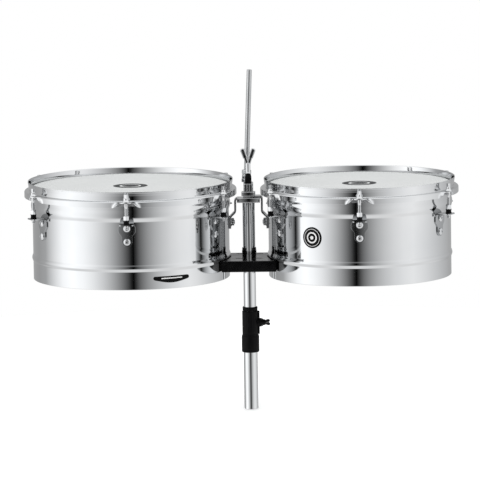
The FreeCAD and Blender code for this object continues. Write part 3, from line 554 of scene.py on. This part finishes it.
def rod_profile(top, foot, end):
    """Threaded rod with a flared foot and a square key end."""
    line = [(0, end), (2.3, end), (2.95, end + 0.7)]
    height = end + 1.0
    while height < foot - 12:
        line += [(2.98, height), (2.98, height + 0.3), (2.66, height + 0.55)]
        height += 0.85
    line += [(3.0, foot - 11), (3.0, foot), (7.0, foot), (7.2, foot + 0.25), (7.2, foot + 0.9),
             (6.5, foot + 1.6), (5.5, foot + 2.5), (4.75, foot + 3.6), (4.2, foot + 5.0),
             (3.85, foot + 6.6), (3.7, foot + 7.6), (3.7, top - 0.5), (3.3, top), (0, top)]
    return line


def receiver_nut(base):
    """Hexagonal nut with chamfered ends, a washer and a neck down through the shelf."""
    bore, shelf = 3.1, base + SHELF_HEIGHT
    body = lathe([(bore, shelf + 8), (4.5, shelf + 8), (5.4, shelf + 7.4),
                  (5.4, shelf + 1), (5.0, shelf + 0.6), (bore, shelf + 0.6)],
                 72, shape=hexagonal(4.75))
    washer = lathe([(bore, shelf), (5.3, shelf), (5.5, shelf + 0.2), (5.5, shelf + 0.5),
                    (bore, shelf + 0.5)], 48)
    neck = lathe([(bore, shelf), (bore, shelf - 11.8), (3.6, shelf - 12.1),
                  (3.95, shelf - 11.6), (3.95, shelf)], 36)
    return [body, washer, neck]


def bush_shape(base):
    """Black bush with a rounded flange."""
    low, high = base + SHELF_HEIGHT - 7.5, base + SHELF_HEIGHT
    return lathe([(4.0, low), (5.2, low), (5.5, low + 0.3), (5.5, low + 1.6), (4.9, low + 2.2),
                  (4.9, high - 1.6), (5.3, high - 1.2), (5.3, high), (4.0, high)], 40)


def bracket_shape(radius, base):
    """Stamped bracket: a plate along the shell, bent out into a shelf for the nut."""
    low, shelf_top, sheet = base + 78.5, base + SHELF_HEIGHT - 7.5, 2.0
    middle = sheet / 2
    path = [(middle, low + step) for step in
            (0, 0.7, 1.6, 2.8, 4.4, 6.4, 9.0, 12, 15, 17.5, 20, 22.5, 25, 27.5, 30, 33, 35.5, 37)]
    bend = 3.0
    path += [(middle + bend + x, z) for x, z in arc(0, shelf_top - middle - bend, bend, 180, 90, 6)]
    path += [(reach, shelf_top - middle) for reach in (8, 12, 16, 19, 21, 23, 24.3, 25.2, 25.8, 26)]

    def half_width(reach, height):
        up = height - low
        if reach > 6:
            left = 26 - reach
            round_end = 3.5
            if left < round_end:
                return 13 - round_end + math.sqrt(round_end ** 2 - (round_end - left) ** 2)
            return 13
        if up < 9.5:
            return max(math.sqrt(9.5 ** 2 - (9.5 - up) ** 2), 0.6)
        widening = 9.5 + 6.3 * smooth((up - 17.5) / 9.5)
        shoulder = smooth((up - 34.0) / 6.0)
        return widening - (widening - 13) * shoulder

    rows = []
    for reach, height in path:
        half = half_width(reach, height)
        row = []
        for k in range(-8, 9):
            side = half * k / 8
            row.append((math.sqrt((radius + middle) ** 2 - side ** 2) - middle + reach,
                        side, height))
        rows.append(row)
    return modified(grid(rows), sheet_metal(sheet), rounded_edges(0.55, 3, 50))


def bolt_shape(seat, height):
    """Round head with a hexagonal socket, lying on the bracket; its axis points outwards."""
    head = [(0, 1.6), (2.1, 1.6), (2.1, 3.3), (2.5, 3.6), (3.4, 3.5), (4.6, 3.0), (5.6, 2.2),
            (6.3, 1.2), (6.5, 0.5), (6.4, 0.05), (0, 0.05)]

    def socket(angle, radius, level):
        turned = angle % (math.pi / 3) - math.pi / 6
        return 1.85 / math.cos(turned) if radius == 2.1 else radius

    vertices, faces = lathe(head, 48, shape=socket)
    return [(seat + z, x, height + y) for x, y, z in vertices], faces


def wrapped(points, radius, aim):
    """Points (along, up, out) laid on a cylinder, along running right as seen from outside."""
    laid = []
    for along, up, out in points:
        angle = math.radians(aim - 90) + along / radius
        laid.append(((radius + out) * math.cos(angle), (radius + out) * math.sin(angle), up))
    return laid


def ring_patch(inner, outer, centre, rings=4):
    """Ring as a sheet of points (along, up)."""
    rows = []
    for i in range(64):
        angle = math.tau * i / 64
        reaches = [inner + (outer - inner) * k / rings for k in range(rings + 1)]
        rows.append([(reach * math.cos(angle), centre + reach * math.sin(angle))
                     for reach in reaches])
    return rows


def make_badges(drum):
    """A drum's plain badge: a domed disc with rings, or an oblong with an arched lower edge."""
    base, radius = drum["base"], drum["radius"]
    body = Piece(f"{drum['side']}_badge_plate", "post", "badge_black", f"{drum['side']}_badge")
    print_piece = Piece(f"{drum['side']}_badge_print", "post", "badge_black")
    if drum["side"] == "right":
        centre, aim, half = base + 86, -31, 19

        def crowned(patch, lift):
            return [[(x, z, lift + 0.25 * (1 - (math.hypot(x, z - centre) / half) ** 4))
                     for x, z in row] for row in patch]

        disc = crowned(ring_patch(0.01, half - 0.1, centre, rings=10), 0.5)
        rows = [wrapped(row, radius, aim) for row in disc]
        marks = [(crowned(ring_patch(inner, outer, centre), 1.13), True)
                 for inner, outer in ((0.01, 3.2), (7.6, 10.2), (15.0, 15.8))]
        body.add(modified(grid(rows, wrap=True), sheet_metal(1.2), rounded_edges(0.3, 2, 50)))
    else:
        centre, aim = base + 19.5, 26

        def edges(along):
            part = along / 34.6
            fade = math.sqrt(max(0.0, 1 - max(0.0, (abs(along) - 31.6) / 3.0) ** 2))
            low = centre - (3.0 + 5.4 * (1 - part * part) ** 1.5) * max(fade, 0.08)
            high = centre + 3.4 * max(fade, 0.08)
            return low, high

        rows = []
        for i in range(61):
            along = -34.5 + 69.0 * i / 60
            low, high = edges(along)
            rows.append(wrapped([(along, low + (high - low) * k / 8, 0.75) for k in range(9)],
                                radius, aim))
        body.add(modified(grid(rows), sheet_metal(1.3), rounded_edges(0.35, 2, 50)))
        line = [[(along, centre - 1.1 + 0.9 * k, 1.44) for k in range(3)]
                for along in [-20 + 40 * i / 24 for i in range(25)]]
        marks = [(line, False)]
    for patch, wrap in marks:
        print_piece.add(modified(grid([wrapped(row, radius, aim) for row in patch], wrap=wrap),
                                 sheet_metal(0.12)))
    place = (drum["x"], 0, 0)
    body.finish(place=place)
    print_piece.finish(MATERIALS["badge_print"], place)


def make_drum(side):
    """Every visible piece of one drum, in the drum's own axes."""
    low, high = low_high(f"{side}_shell")
    drum = {"side": side, "x": (low.x + high.x) / 2, "base": low.z,
            "radius": (high.x - low.x) / 2 - BEADS[1][2]}
    radius, base, top = drum["radius"], low.z, high.z
    place = (drum["x"], 0, 0)
    circle_radius = radius + ROD_CIRCLE

    def piece(part, slot, *replaced):
        return Piece(f"{side}_{part}", "post", slot, *replaced)

    piece("shell_visible", "chrome_shell", f"{side}_shell").add(
        lathe(shell_profile(radius, base, top), 256)).finish(place=place, sharp=50)
    piece("head", "head_film", f"{side}_drumhead").add(
        lathe(head_profile(radius, top), 256)).finish(place=place)
    piece("hoop", "chrome_rim", f"{side}_rim").add(rim_shape(radius, top)).finish(place=place)
    nuts = piece("nuts", "chrome_hardware", f"{side}_receiver_nuts")
    for shape in receiver_nut(base):
        nuts.around(shape, moved(circle_radius))
    nuts.finish(place=place)
    piece("bushes", "black_plastic", f"{side}_nut_bushes").around(
        bush_shape(base), moved(circle_radius)).finish(place=place)
    # The brackets take the darkened chrome copy: painted shade for their dark reflections.
    piece("brackets", "chrome_hardware", f"{side}_lug_brackets").around(
        bracket_shape(radius, base)).finish(material=LUG_CHROME_PAINTED_DARK, place=place)
    bolts = piece("bolts", "chrome_hardware", f"{side}_lug_bolts")
    for height in (base + 111, base + 87):
        bolts.around(bolt_shape(radius + 2, height))
    bolts.finish(place=place)
    make_badges(drum)

    mesh = None
    for number in range(1, LUGS + 1):
        name = f"{side}_tension_rod_{number}"
        rod_low, rod_high = low_high(name)
        foot = top - 4.2
        rod = Piece(f"{side}_key_rod_{number}", f"{side}_rod_{number}", "chrome_hardware", name)
        if mesh is None:
            rod.add(lathe(rod_profile(rod_high.z, foot, rod_low.z), 40,
                          shape=square(2.75, foot + 7.2)))
        spot = ((rod_low.x + rod_high.x) / 2, (rod_low.y + rod_high.y) / 2, 0)
        mesh = rod.finish(place=spot, mesh=mesh).data
    return drum


# ---------------------------------------------------------------- stand

def make_tubes():
    low, high = low_high("lower_tube")
    outer, neck = high.x, 12.2
    shoulder = low_high("clamp_sleeve")[0].z
    Piece("lower_tube_visible", "lower_stand", "chrome_tube", "lower_tube").add(lathe(
        [(11.2, low.z + 0.4), (11.6, low.z), (outer - 0.4, low.z), (outer, low.z + 0.4),
         (outer, shoulder), (neck, shoulder), (neck, high.z), (11.2, high.z)], 96)).finish()
    low, high = low_high("post_tube")
    outer = high.x
    Piece("post_tube_visible", "post", "chrome_tube", "post_tube").add(lathe(
        [(outer - 1.5, low.z + 0.3), (outer - 1.2, low.z), (outer - 0.4, low.z),
         (outer, low.z + 0.4), (outer, high.z - 0.3), (outer - 0.3, high.z),
         (outer - 1.5, high.z)], 96)).finish()


def make_clamp():
    """Black height clamp with its collet cap and the boss that takes the wing bolt."""
    low, high = low_high("clamp_sleeve")
    bore, outer = 12.2, high.x
    sleeve = lathe([(12.72, low.z + 0.1), (outer - 1.6, low.z + 0.1), (outer - 0.4, low.z + 0.8),
                    (outer, low.z + 2.2), (outer, high.z - 5.5), (outer - 0.35, high.z - 3.2),
                    (outer - 1.3, high.z - 1.4), (14.75, high.z - 0.6), (14.1, high.z),
                    (bore, high.z), (bore, low.z + 1.2)], 96)
    Piece("clamp_sleeve_visible", "lower_stand", "black_plastic", "clamp_sleeve").add(
        sleeve).finish()
    low, high = low_high("clamp_body")
    outer = -low.x

    def ribbed(angle, radius, height):
        if radius < outer - 0.01:
            return radius
        return radius - 0.35 * (0.5 - 0.5 * math.cos(24 * angle)) * (
            math.cos(angle) < 0.55 and low.z + 6 < height < high.z - 5)

    body = lathe([(bore, low.z), (14.1, low.z), (outer, low.z + 0.9), (outer, low.z + 5.5),
                  (outer, low.z + 6.5), (outer, high.z - 5.5), (outer, high.z - 4.5),
                  (outer, high.z - 1.0), (outer - 1.0, high.z - 0.1), (bore, high.z - 0.1)],
                 144, shape=ribbed)
    axis = low_high("clamp_wing_bolt")
    middle = (axis[0].z + axis[1].z) / 2
    boss = lathe([(4.06, 0), (8.0, 0), (8.0, 7.2), (7.2, 8.2), (4.06, 8.2)], 48)
    rib = slab([filleted([(-21.4, -4), (21.4, -4), (21.4, 4), (-21.4, 4)], [3] * 4, closed=True)],
               5.0, 0.8)
    Piece("clamp_body_visible", "lower_stand", "black_plastic", "clamp_body").add(body).add(
        boss, moved(12.9, 0, middle) @ ALONG_X).add(
        rib, moved(14.6, 0, middle) @ ALONG_X).finish()
    low, high = low_high("clamp_cap")
    outer = high.x

    def fluted(angle, radius, height):
        if radius < 12:
            return radius
        return radius - 0.55 * max(0.0, math.cos(8 * angle)) ** 6

    cap = lathe([(11.16, low.z + 0.5), (outer - 1.2, low.z + 0.5), (outer - 0.2, low.z + 1.3),
                 (outer, low.z + 2.2), (outer - 0.3, low.z + 3.6), (outer, low.z + 5.0),
                 (outer - 0.3, high.z - 0.9), (outer - 1.2, high.z), (12.2, high.z),
                 (11.16, high.z - 1.2)], 144, shape=fluted)
    Piece("clamp_cap_visible", "lower_stand", "black_plastic", "clamp_cap").add(cap).finish()


def wing_bolt_shapes(neck, wing_foot, wing_top, wing_half, thickness, width):
    """Neck, flange and two paddle wings of a wing bolt that stands on z = 0."""
    shapes = [lathe([(0, 0), (neck + 1.3, 0), (neck + 1.6, 0.3), (neck + 1.6, 1.3),
                     (neck + 0.6, 2.0), (neck, 3.0), (neck, wing_foot + 1), (neck - 0.6,
                     wing_foot + 3.2), (neck * 0.5, wing_foot + 4.6), (0, wing_foot + 5)], 48)]
    tip = wing_half - width * 0.42
    for side in (-1, 1):
        line = [(side * neck * 0.25, wing_foot + 1.2),
                (side * (neck * 0.35 + tip * 0.32), wing_foot + (wing_top - wing_foot) * 0.42),
                (side * tip, wing_top - width * 0.45)]
        middle = filleted(line, [0, wing_half, 0], 8)
        blade = []
        for i, (x, y) in enumerate(middle):
            before, after = middle[max(i - 1, 0)], middle[min(i + 1, len(middle) - 1)]
            along = (Vector(after) - Vector(before)).normalized()
            part = i / (len(middle) - 1)
            half = width * (0.36 + 0.14 * smooth(part))
            blade.append((Vector((x, y)), Vector((-along.y, along.x)), along, half))
        left = [tuple(p + n * h) for p, n, _, h in blade]
        right = [tuple(p - n * h) for p, n, _, h in blade]
        p, n, along, half = blade[-1]
        cap = [tuple(p + n * half * math.cos(math.pi * k / 10)
                     + along * half * 0.8 * math.sin(math.pi * k / 10)) for k in range(1, 10)]
        outline = left + cap + right[::-1]
        if side < 0:
            outline = outline[::-1]
        vertices, faces = slab([outline], thickness, thickness * 0.42, 5)
        shapes.append(([FACING_FRONT @ Vector(v) for v in vertices], faces))
    return shapes


def make_wing_bolts():
    low, high = low_high("clamp_wing_bolt")
    stand = 21.3
    turned = moved(stand, 0, (low.z + high.z) / 2) @ ALONG_X @ Matrix.Rotation(
        math.radians(68), 4, "Z")
    bolt = Piece("clamp_wing_bolt_visible", "clamp_wing_bolt", "black_plastic", "clamp_wing_bolt")
    for shape in wing_bolt_shapes(5.5, 3.0, high.x - stand, 15.9, 5.2, 6.4):
        bolt.add(shape, turned)
    bolt.add(lathe([(0, 0.2), (4.0, 0.2), (4.0, low.x - stand + 0.6), (3.4, low.x - stand),
                    (0, low.x - stand)], 36), turned)
    bolt.finish()
    low, high = low_high("top_wing_bolt")
    stand = low_high("rod_cap")[1].z + 0.3
    bolt = Piece("top_wing_bolt_visible", "top_wing_bolt", "chrome_hardware", "top_wing_bolt")
    for shape in wing_bolt_shapes(4.3, 15.5, high.z - stand, high.x, 4.4, 8.6):
        bolt.add(shape, moved(0, 0, stand))
    bolt.add(lathe([(0, 0.2), (4.0, 0.2), (4.0, low.z - stand + 0.7), (3.3, low.z - stand),
                    (0, low.z - stand)], 36), moved(0, 0, stand))
    bolt.finish()


POST_HOLE = 11.16
SEAT_GAP = 3.0
SLOT_COLUMNS, SLOT_ROWS = (-17, 17), (-37, 27)
SLOT_REACH, SLOT_HALF = 6.5, 2.0
CORNER_TIP = 58.0
CORNER_TOP, CORNER_LOW = 46.0, 50.0


def make_cradle(drums):
    """Black cradle between the shells: hugging sides, cut corners and four slots."""
    low, high = low_high("cradle_plate")
    front, back = low.y, high.y
    outline = []
    for drum, rows in ((drums[1], (front, back)), (drums[0], (back, front))):
        reach = drum["radius"] + SEAT_GAP
        side = 1 if drum["x"] > 0 else -1
        for k in range(25):
            y = rows[0] + (rows[1] - rows[0]) * k / 24
            outline.append((drum["x"] - side * math.sqrt(reach ** 2 - y ** 2), y))
    holes = [circle(POST_HOLE, steps=64)[::-1]]
    for x in SLOT_COLUMNS:
        left, right = x - SLOT_REACH, x + SLOT_REACH
        for y in SLOT_ROWS:
            near, far = y - SLOT_HALF, y + SLOT_HALF
            holes.append(filleted([(left, near), (left, far), (right, far), (right, near)],
                                  [1.6] * 4, closed=True))
    vertices, faces = slab([outline] + holes, high.z - low.z, 0.9, 3)
    middle = (low.z + high.z) / 2
    mesh = clean_mesh(([(x, y, z + middle) for x, y, z in vertices], faces))
    bm = bmesh.new()
    bm.from_mesh(mesh)
    bpy.data.meshes.remove(mesh)
    for side in (-1, 1):
        for start, level, tip in ((CORNER_TOP, high.z, middle - 2),
                                  (CORNER_LOW, low.z, middle - 4)):
            corner = Vector((side * start, 0, level))
            point = Vector((side * CORNER_TIP, 0, tip))
            along = point - corner
            normal = Vector((abs(along.z), 0, 0)) * side
            normal.z = abs(along.x) * (1 if level > middle else -1)
            cut = bmesh.ops.bisect_plane(bm, geom=bm.verts[:] + bm.edges[:] + bm.faces[:],
                                         plane_co=corner, plane_no=normal, clear_outer=True)
            open_edges = [e for e in cut["geom_cut"] if isinstance(e, bmesh.types.BMEdge)]
            bmesh.ops.holes_fill(bm, edges=open_edges)
    plate = Piece("cradle_visible", "post", "black_metal", "cradle_plate")
    plate.bm.free()
    plate.bm = bm
    plate.finish()

    low, high = low_high("cradle_collar")
    outer = 12.68
    collar = Piece("cradle_collar_visible", "post", "black_metal", "cradle_collar")
    collar.add(lathe([(11.12, low.z + 0.05), (outer - 0.18, low.z + 0.05), (outer, low.z + 0.4),
                      (outer, high.z - 0.6), (outer - 0.48, high.z), (11.12, high.z)], 72,
                     sweep=math.radians(300), start=math.radians(-60)))
    collar.finish()


STRAP, STRAP_WIDTH = 3.5, 22.0
ARM_START, ARM_LEG, ARM_FOOT = -9.5, 24.1, 33.75     # sideways from the post's middle
ARM_BENDS = (361.0, 351.5)
ARM_END = 331.0


def make_arms():
    """Chrome strap arms with rounded bends, and the nuts on their feet."""
    for side, sign in (("left", -1), ("right", 1)):
        level = low_high(f"{side}_mount_arm")[1].z - STRAP / 2
        leg, foot = ARM_LEG * sign, ARM_FOOT * sign
        line = [(ARM_START * sign, level), (leg, level), (leg, ARM_BENDS[0]),
                (foot, ARM_BENDS[1]), (foot, ARM_END)]
        outline = stroke(filleted(line, [0, 4.2, 6, 5, 0], 7), STRAP)
        arm = Piece(f"{side}_arm", "post", "chrome_hardware", f"{side}_mount_arm")
        arm.add(slab([outline], STRAP_WIDTH, 0.4, 3), FACING_FRONT)
        arm.finish()
        towards = ALONG_X if sign < 0 else ALONG_MINUS_X
        spot = moved(32.0 * sign, 0, 342) @ towards
        nut = Piece(f"{side}_foot_nut", "post", "chrome_hardware", f"{side}_arm_nut",
                    f"{side}_arm_bolt")
        nut.add(lathe([(4.0, 0), (7.8, 0), (8.0, 0.3), (8.0, 1.3), (7.8, 1.6), (4.0, 1.6)], 56),
                spot)
        nut.add(lathe([(4.0, 1.65), (6.6, 1.65), (7.4, 2.2), (7.4, 4.6), (6.4, 5.5), (4.0, 5.5)],
                      72, shape=hexagonal(6.5)), spot)
        nut.add(lathe([(0, -9.0), (6.4, -9.0), (7.0, -8.4), (7.0, -5.1), (4.0, -5.1), (4.0, 6.2),
                       (3.4, 6.9), (0, 6.9)], 40), spot)
        nut.finish()


def make_top():
    """Channel bar, clamp plate, holder block and cap above the post."""
    low, high = low_high("top_bar")
    inner = 11.3
    bar = [(low.y, low.z), (high.y, low.z), (high.y, high.z), (inner, high.z),
           (inner, low.z + 5.2), (-inner, low.z + 5.2), (-inner, high.z), (low.y, high.z)]
    outline = filleted(bar, [1.6, 1.6, 0.6, 0.6, 0.8, 0.8, 0.6, 0.6], closed=True)
    to_frame = Matrix(((0, 0, 1, 0), (1, 0, 0, 0), (0, 1, 0, 0), (0, 0, 0, 1)))
    Piece("top_bar_visible", "post", "chrome_hardware", "top_bar").add(
        slab([outline], high.x - low.x, 0.5), to_frame).finish()

    low, high = low_high("top_clamp_plate")
    plan = filleted([(low.x, low.y), (high.x, low.y), (high.x, high.y), (low.x, high.y)],
                    [3.2] * 4, closed=True)
    hole = circle(4.06)[::-1]
    Piece("clamp_plate_visible", "post", "chrome_hardware", "top_clamp_plate").add(
        slab([plan, hole], high.z - low.z, 0.5, 3),
        moved(0, 0, (low.z + high.z) / 2)).finish()

    low, high = low_high("holder_block")
    plan = [(low.x, low.y), (-2.2, low.y), (-2.2, low.y + 2.2), (2.2, low.y + 2.2),
            (2.2, low.y), (high.x, low.y), (high.x, high.y), (low.x, high.y)]
    plan = filleted(plan, [2.2, 0.7, 0.7, 0.7, 0.7, 2.2, 6, 6], closed=True)
    socket = circle(4.8, -4.35, 19, 48)[::-1]
    Piece("holder_block_visible", "rod_holder", "chrome_hardware", "holder_block").add(
        slab([plan, hole, socket], high.z - low.z, 0.8, 3),
        moved(0, 0, (low.z + high.z) / 2)).finish()

    low, high = low_high("rod_cap")

    def ribbed(angle, radius, height):
        return radius - (0.16 * max(0.0, math.cos(10 * angle)) if 4.3 < radius else 0)

    z = low.z
    Piece("rod_cap_visible", "rod_holder", "black_plastic", "rod_cap").add(lathe(
        [(4.06, z), (5.7, z), (6.0, z + 0.4), (6.0, z + 9), (5.9, z + 11.5), (5.65, z + 13.6),
         (5.2, z + 15.6), (4.7, z + 17), (4.3, z + 17.8), (4.06, z + 18)], 120,
        shape=ribbed)).finish()


def make_rod():
    """Cowbell rod and the eye that holds it, both leaning."""
    mount = next(m for m in frame["record"]["mounts"] if m["name"] == "cowbell_post")
    axis = Vector(mount["axis"])
    bare = mount["dims"]["length_mm"]
    lean = axis.to_track_quat("Z", "Y").to_matrix().to_4x4()
    foot = Vector(mount["pos_m"]) / MM - axis * (bare + 34.6)
    tip = bare + 35.6
    spot = Matrix.Translation(foot) @ lean
    Piece("cowbell_rod_visible", "cowbell_rod", "chrome_tube", "cowbell_rod").add(lathe(
        [(0, 0), (3.2, 0), (4.2, 1.0), (4.2, 34.6), (4.4, 34.6), (4.6, 34.9), (4.6, tip - 1.4),
         (4.35, tip - 0.5), (3.7, tip - 0.02), (0, tip - 0.02)], 56), spot).finish(ROD_STEEL)
    start = 12.3
    eye = Piece("rod_eye_visible", "rod_holder", "chrome_hardware", "rod_eye")
    eye.add(lathe([(4.26, start), (7.9, start), (8.5, start + 0.6), (8.5, start + 5.6),
                   (7.9, start + 6.4), (7.9, start + 15.6), (8.5, start + 16.4),
                   (8.5, start + 21.2), (7.7, start + 22), (4.26, start + 22)], 72), spot)
    screw = spot @ moved(-7.4, 0, start + 11) @ ALONG_MINUS_X
    eye.add(lathe([(0, 0), (2.9, 0), (2.9, 3.0), (2.3, 3.6), (1.3, 3.6), (1.3, 2.4), (0, 2.4)],
                  36), screw)
    eye.finish()


def dress_cad_nodes():
    """The CAD nodes that still show take their slot's material."""
    slots = {part["node"]: part["material_slot"] for part in frame["record"]["subparts"]}
    for name, node in NODES.items():
        if node.hide_render:
            continue
        node.data.materials.clear()
        node.data.materials.append(MATERIALS[slots[name]])


# ---------------------------------------------------------------- studio

# A tall soft light on each side: how many degrees round from the front it is brightest, how
# bright, how steeply it fades to the dark gap in front, and over how many degrees to the back.
LEFT_LIGHT = (78, 0.97, 1.2, 38)
RIGHT_LIGHT = (72, 0.70, 0.9, 80)
FRONT_GAP = 1.5
BACK_LEVEL = 0.25
STUDIO_STOPS = 15
STUDIO_STRENGTH = 1.82
TENT_RADIUS = 2.7


def studio_level(direction):
    """Brightness of the studio's walls in a direction in degrees: 0 is the front, - is left."""
    aim, peak, steepness, fade = LEFT_LIGHT if direction < 0 else RIGHT_LIGHT
    away = abs(direction)
    if away > aim:
        return max(BACK_LEVEL, peak - (peak - BACK_LEVEL) * (away - aim) / fade)
    part = max(0.0, away - FRONT_GAP) / (aim - FRONT_GAP)
    return peak * math.sin(math.pi / 2 * part) ** steepness


def studio_light(tree, coordinates):
    """Nodes that give the studio's colour in each direction, and their output."""
    add = node_adder(tree)
    aim = add("VectorMath", [(0, coordinates)], operation="NORMALIZE")
    split = add("SeparateXYZ", [(0, aim.outputs["Vector"])])
    back = add("Math", [(0, split.outputs["Y"])], operation="MULTIPLY", in_1=-1)
    turn = add("Math", [(0, split.outputs["X"]), (1, back.outputs[0])], operation="ARCTAN2")
    part = add("MapRange", [(0, turn.outputs[0])], in_1=-math.pi, in_2=math.pi)
    ramp = add("ValToRGB", [("Fac", part.outputs["Result"])])
    elements = ramp.color_ramp.elements
    for i in range(1 - STUDIO_STOPS, STUDIO_STOPS):
        elements.new(0.5 + 0.5 * math.copysign(abs(i / STUDIO_STOPS) ** 1.5, i))
    for stop in elements:
        level = studio_level(stop.position * 360 - 180)
        stop.color = (level, level * 1.005, level * 1.01, 1)
    rise = add("MapRange", [(0, split.outputs["Z"])], interpolation_type="SMOOTHSTEP",
               in_1=0.45, in_2=0.85)
    overhead = add("Mix", [("Factor", rise.outputs["Result"]), (6, ramp.outputs["Color"])],
                   data_type="RGBA", in_7=(0.72, 0.725, 0.73, 1))
    fall = add("MapRange", [(0, split.outputs["Z"])], interpolation_type="SMOOTHSTEP",
               in_1=-0.3, in_2=-0.6)
    below = add("Mix", [("Factor", fall.outputs["Result"]), (6, overhead.outputs[2])],
                data_type="RGBA", in_7=(0.6, 0.6, 0.6, 1))
    return below.outputs[2]


def make_world():
    """Soft studio light from all round; the camera itself sees plain white behind the part."""
    world = bpy.data.worlds.new("studio")
    bpy.context.scene.world = world
    world.use_nodes = True
    world.cycles_visibility.glossy = False
    tree = world.node_tree
    tree.nodes.clear()
    add = node_adder(tree)
    place = add("TexCoord")
    light = add("Background", [("Color", studio_light(tree, place.outputs["Generated"]))],
                in_1=STUDIO_STRENGTH)
    plain = add("Background", in_0=(1, 1, 1, 1))
    seen = add("LightPath")
    mix = add("MixShader", [(0, seen.outputs["Is Camera Ray"]), (1, light.outputs[0]),
                            (2, plain.outputs[0])])
    add("OutputWorld", [("Surface", mix.outputs[0])])


def make_light_tent():
    """Round wall of the studio, which only the reflections show."""
    material = bpy.data.materials.new("tent")
    material.use_nodes = True
    tree = material.node_tree
    tree.nodes.clear()
    add = node_adder(tree)
    place = add("TexCoord")
    light = add("Emission", [("Color", studio_light(tree, place.outputs["Object"]))],
                in_1=STUDIO_STRENGTH)
    add("OutputMaterial", [("Surface", light.outputs[0])])
    material.cycles.emission_sampling = "NONE"
    profile = arc(0, 0, TENT_RADIUS / MM, -90, 90, 30)
    mesh = clean_mesh(lathe(profile, 96, closed=False))
    mesh.transform(Matrix.Scale(MM, 4))
    mesh.materials.append(material)
    tent = linked("tent", mesh)
    tent.location.z = (cad_bounds[0].z + cad_bounds[1].z) / 2
    for ray in ("camera", "diffuse", "transmission", "shadow"):
        setattr(tent, "visible_" + ray, False)


TABLE_RADIUS, TABLE_DEPTH = 1250, 4
TABLE_DROP = 0.001


def make_floor():
    """Round white table under the part."""
    material, shader, add = new_material("table", Roughness=0.9, Emission_Strength=0.42)
    shader.inputs["Emission Color"].default_value = (1, 1, 1, 1)
    two_tone(material, shader, add, noise(add, 3, 2), (0.86, 0.86, 0.86), (0.89, 0.89, 0.89))
    mesh = clean_mesh(lathe([(0, 0), (TABLE_RADIUS, 0), (TABLE_RADIUS, -TABLE_DEPTH),
                             (0, -TABLE_DEPTH)], 128))
    mesh.transform(Matrix.Scale(MM, 4))
    mesh.materials.append(material)
    floor = linked("table", mesh)
    floor.location.z = cad_bounds[0].z - TABLE_DROP
    floor.visible_glossy = False


CAMERA_ANGLES = (1.3, 7.8, -0.85)     # azimuth, elevation and roll, in degrees
CAMERA_TARGET = (-0.0164, 0, 0.3089)
CAMERA_DISTANCE = 9.8
CAMERA_LENS = 406


def make_camera():
    """Long lens, looking down on the heads at a low angle."""
    data = bpy.data.cameras.new("camera")
    data.sensor_width = 36
    data.lens = CAMERA_LENS
    data.clip_end = 100
    camera = linked("camera", data)
    azimuth, elevation, roll = (math.radians(angle) for angle in CAMERA_ANGLES)
    target = Vector(CAMERA_TARGET)
    away = Vector((math.sin(azimuth) * math.cos(elevation),
                   -math.cos(azimuth) * math.cos(elevation), math.sin(elevation)))
    facing = away.to_track_quat("Z", "Y").to_matrix().to_4x4()
    camera.matrix_world = (Matrix.Translation(target + away * CAMERA_DISTANCE) @ facing
                           @ Matrix.Rotation(roll, 4, "Z"))
    bpy.context.scene.camera = camera


drums = [make_drum("left"), make_drum("right")]
make_tubes()
make_clamp()
make_wing_bolts()
make_cradle(drums)
make_arms()
make_top()
make_rod()
dress_cad_nodes()
make_world()
make_light_tent()
make_floor()
make_camera()
bpy.context.scene.view_settings.view_transform = "Standard"
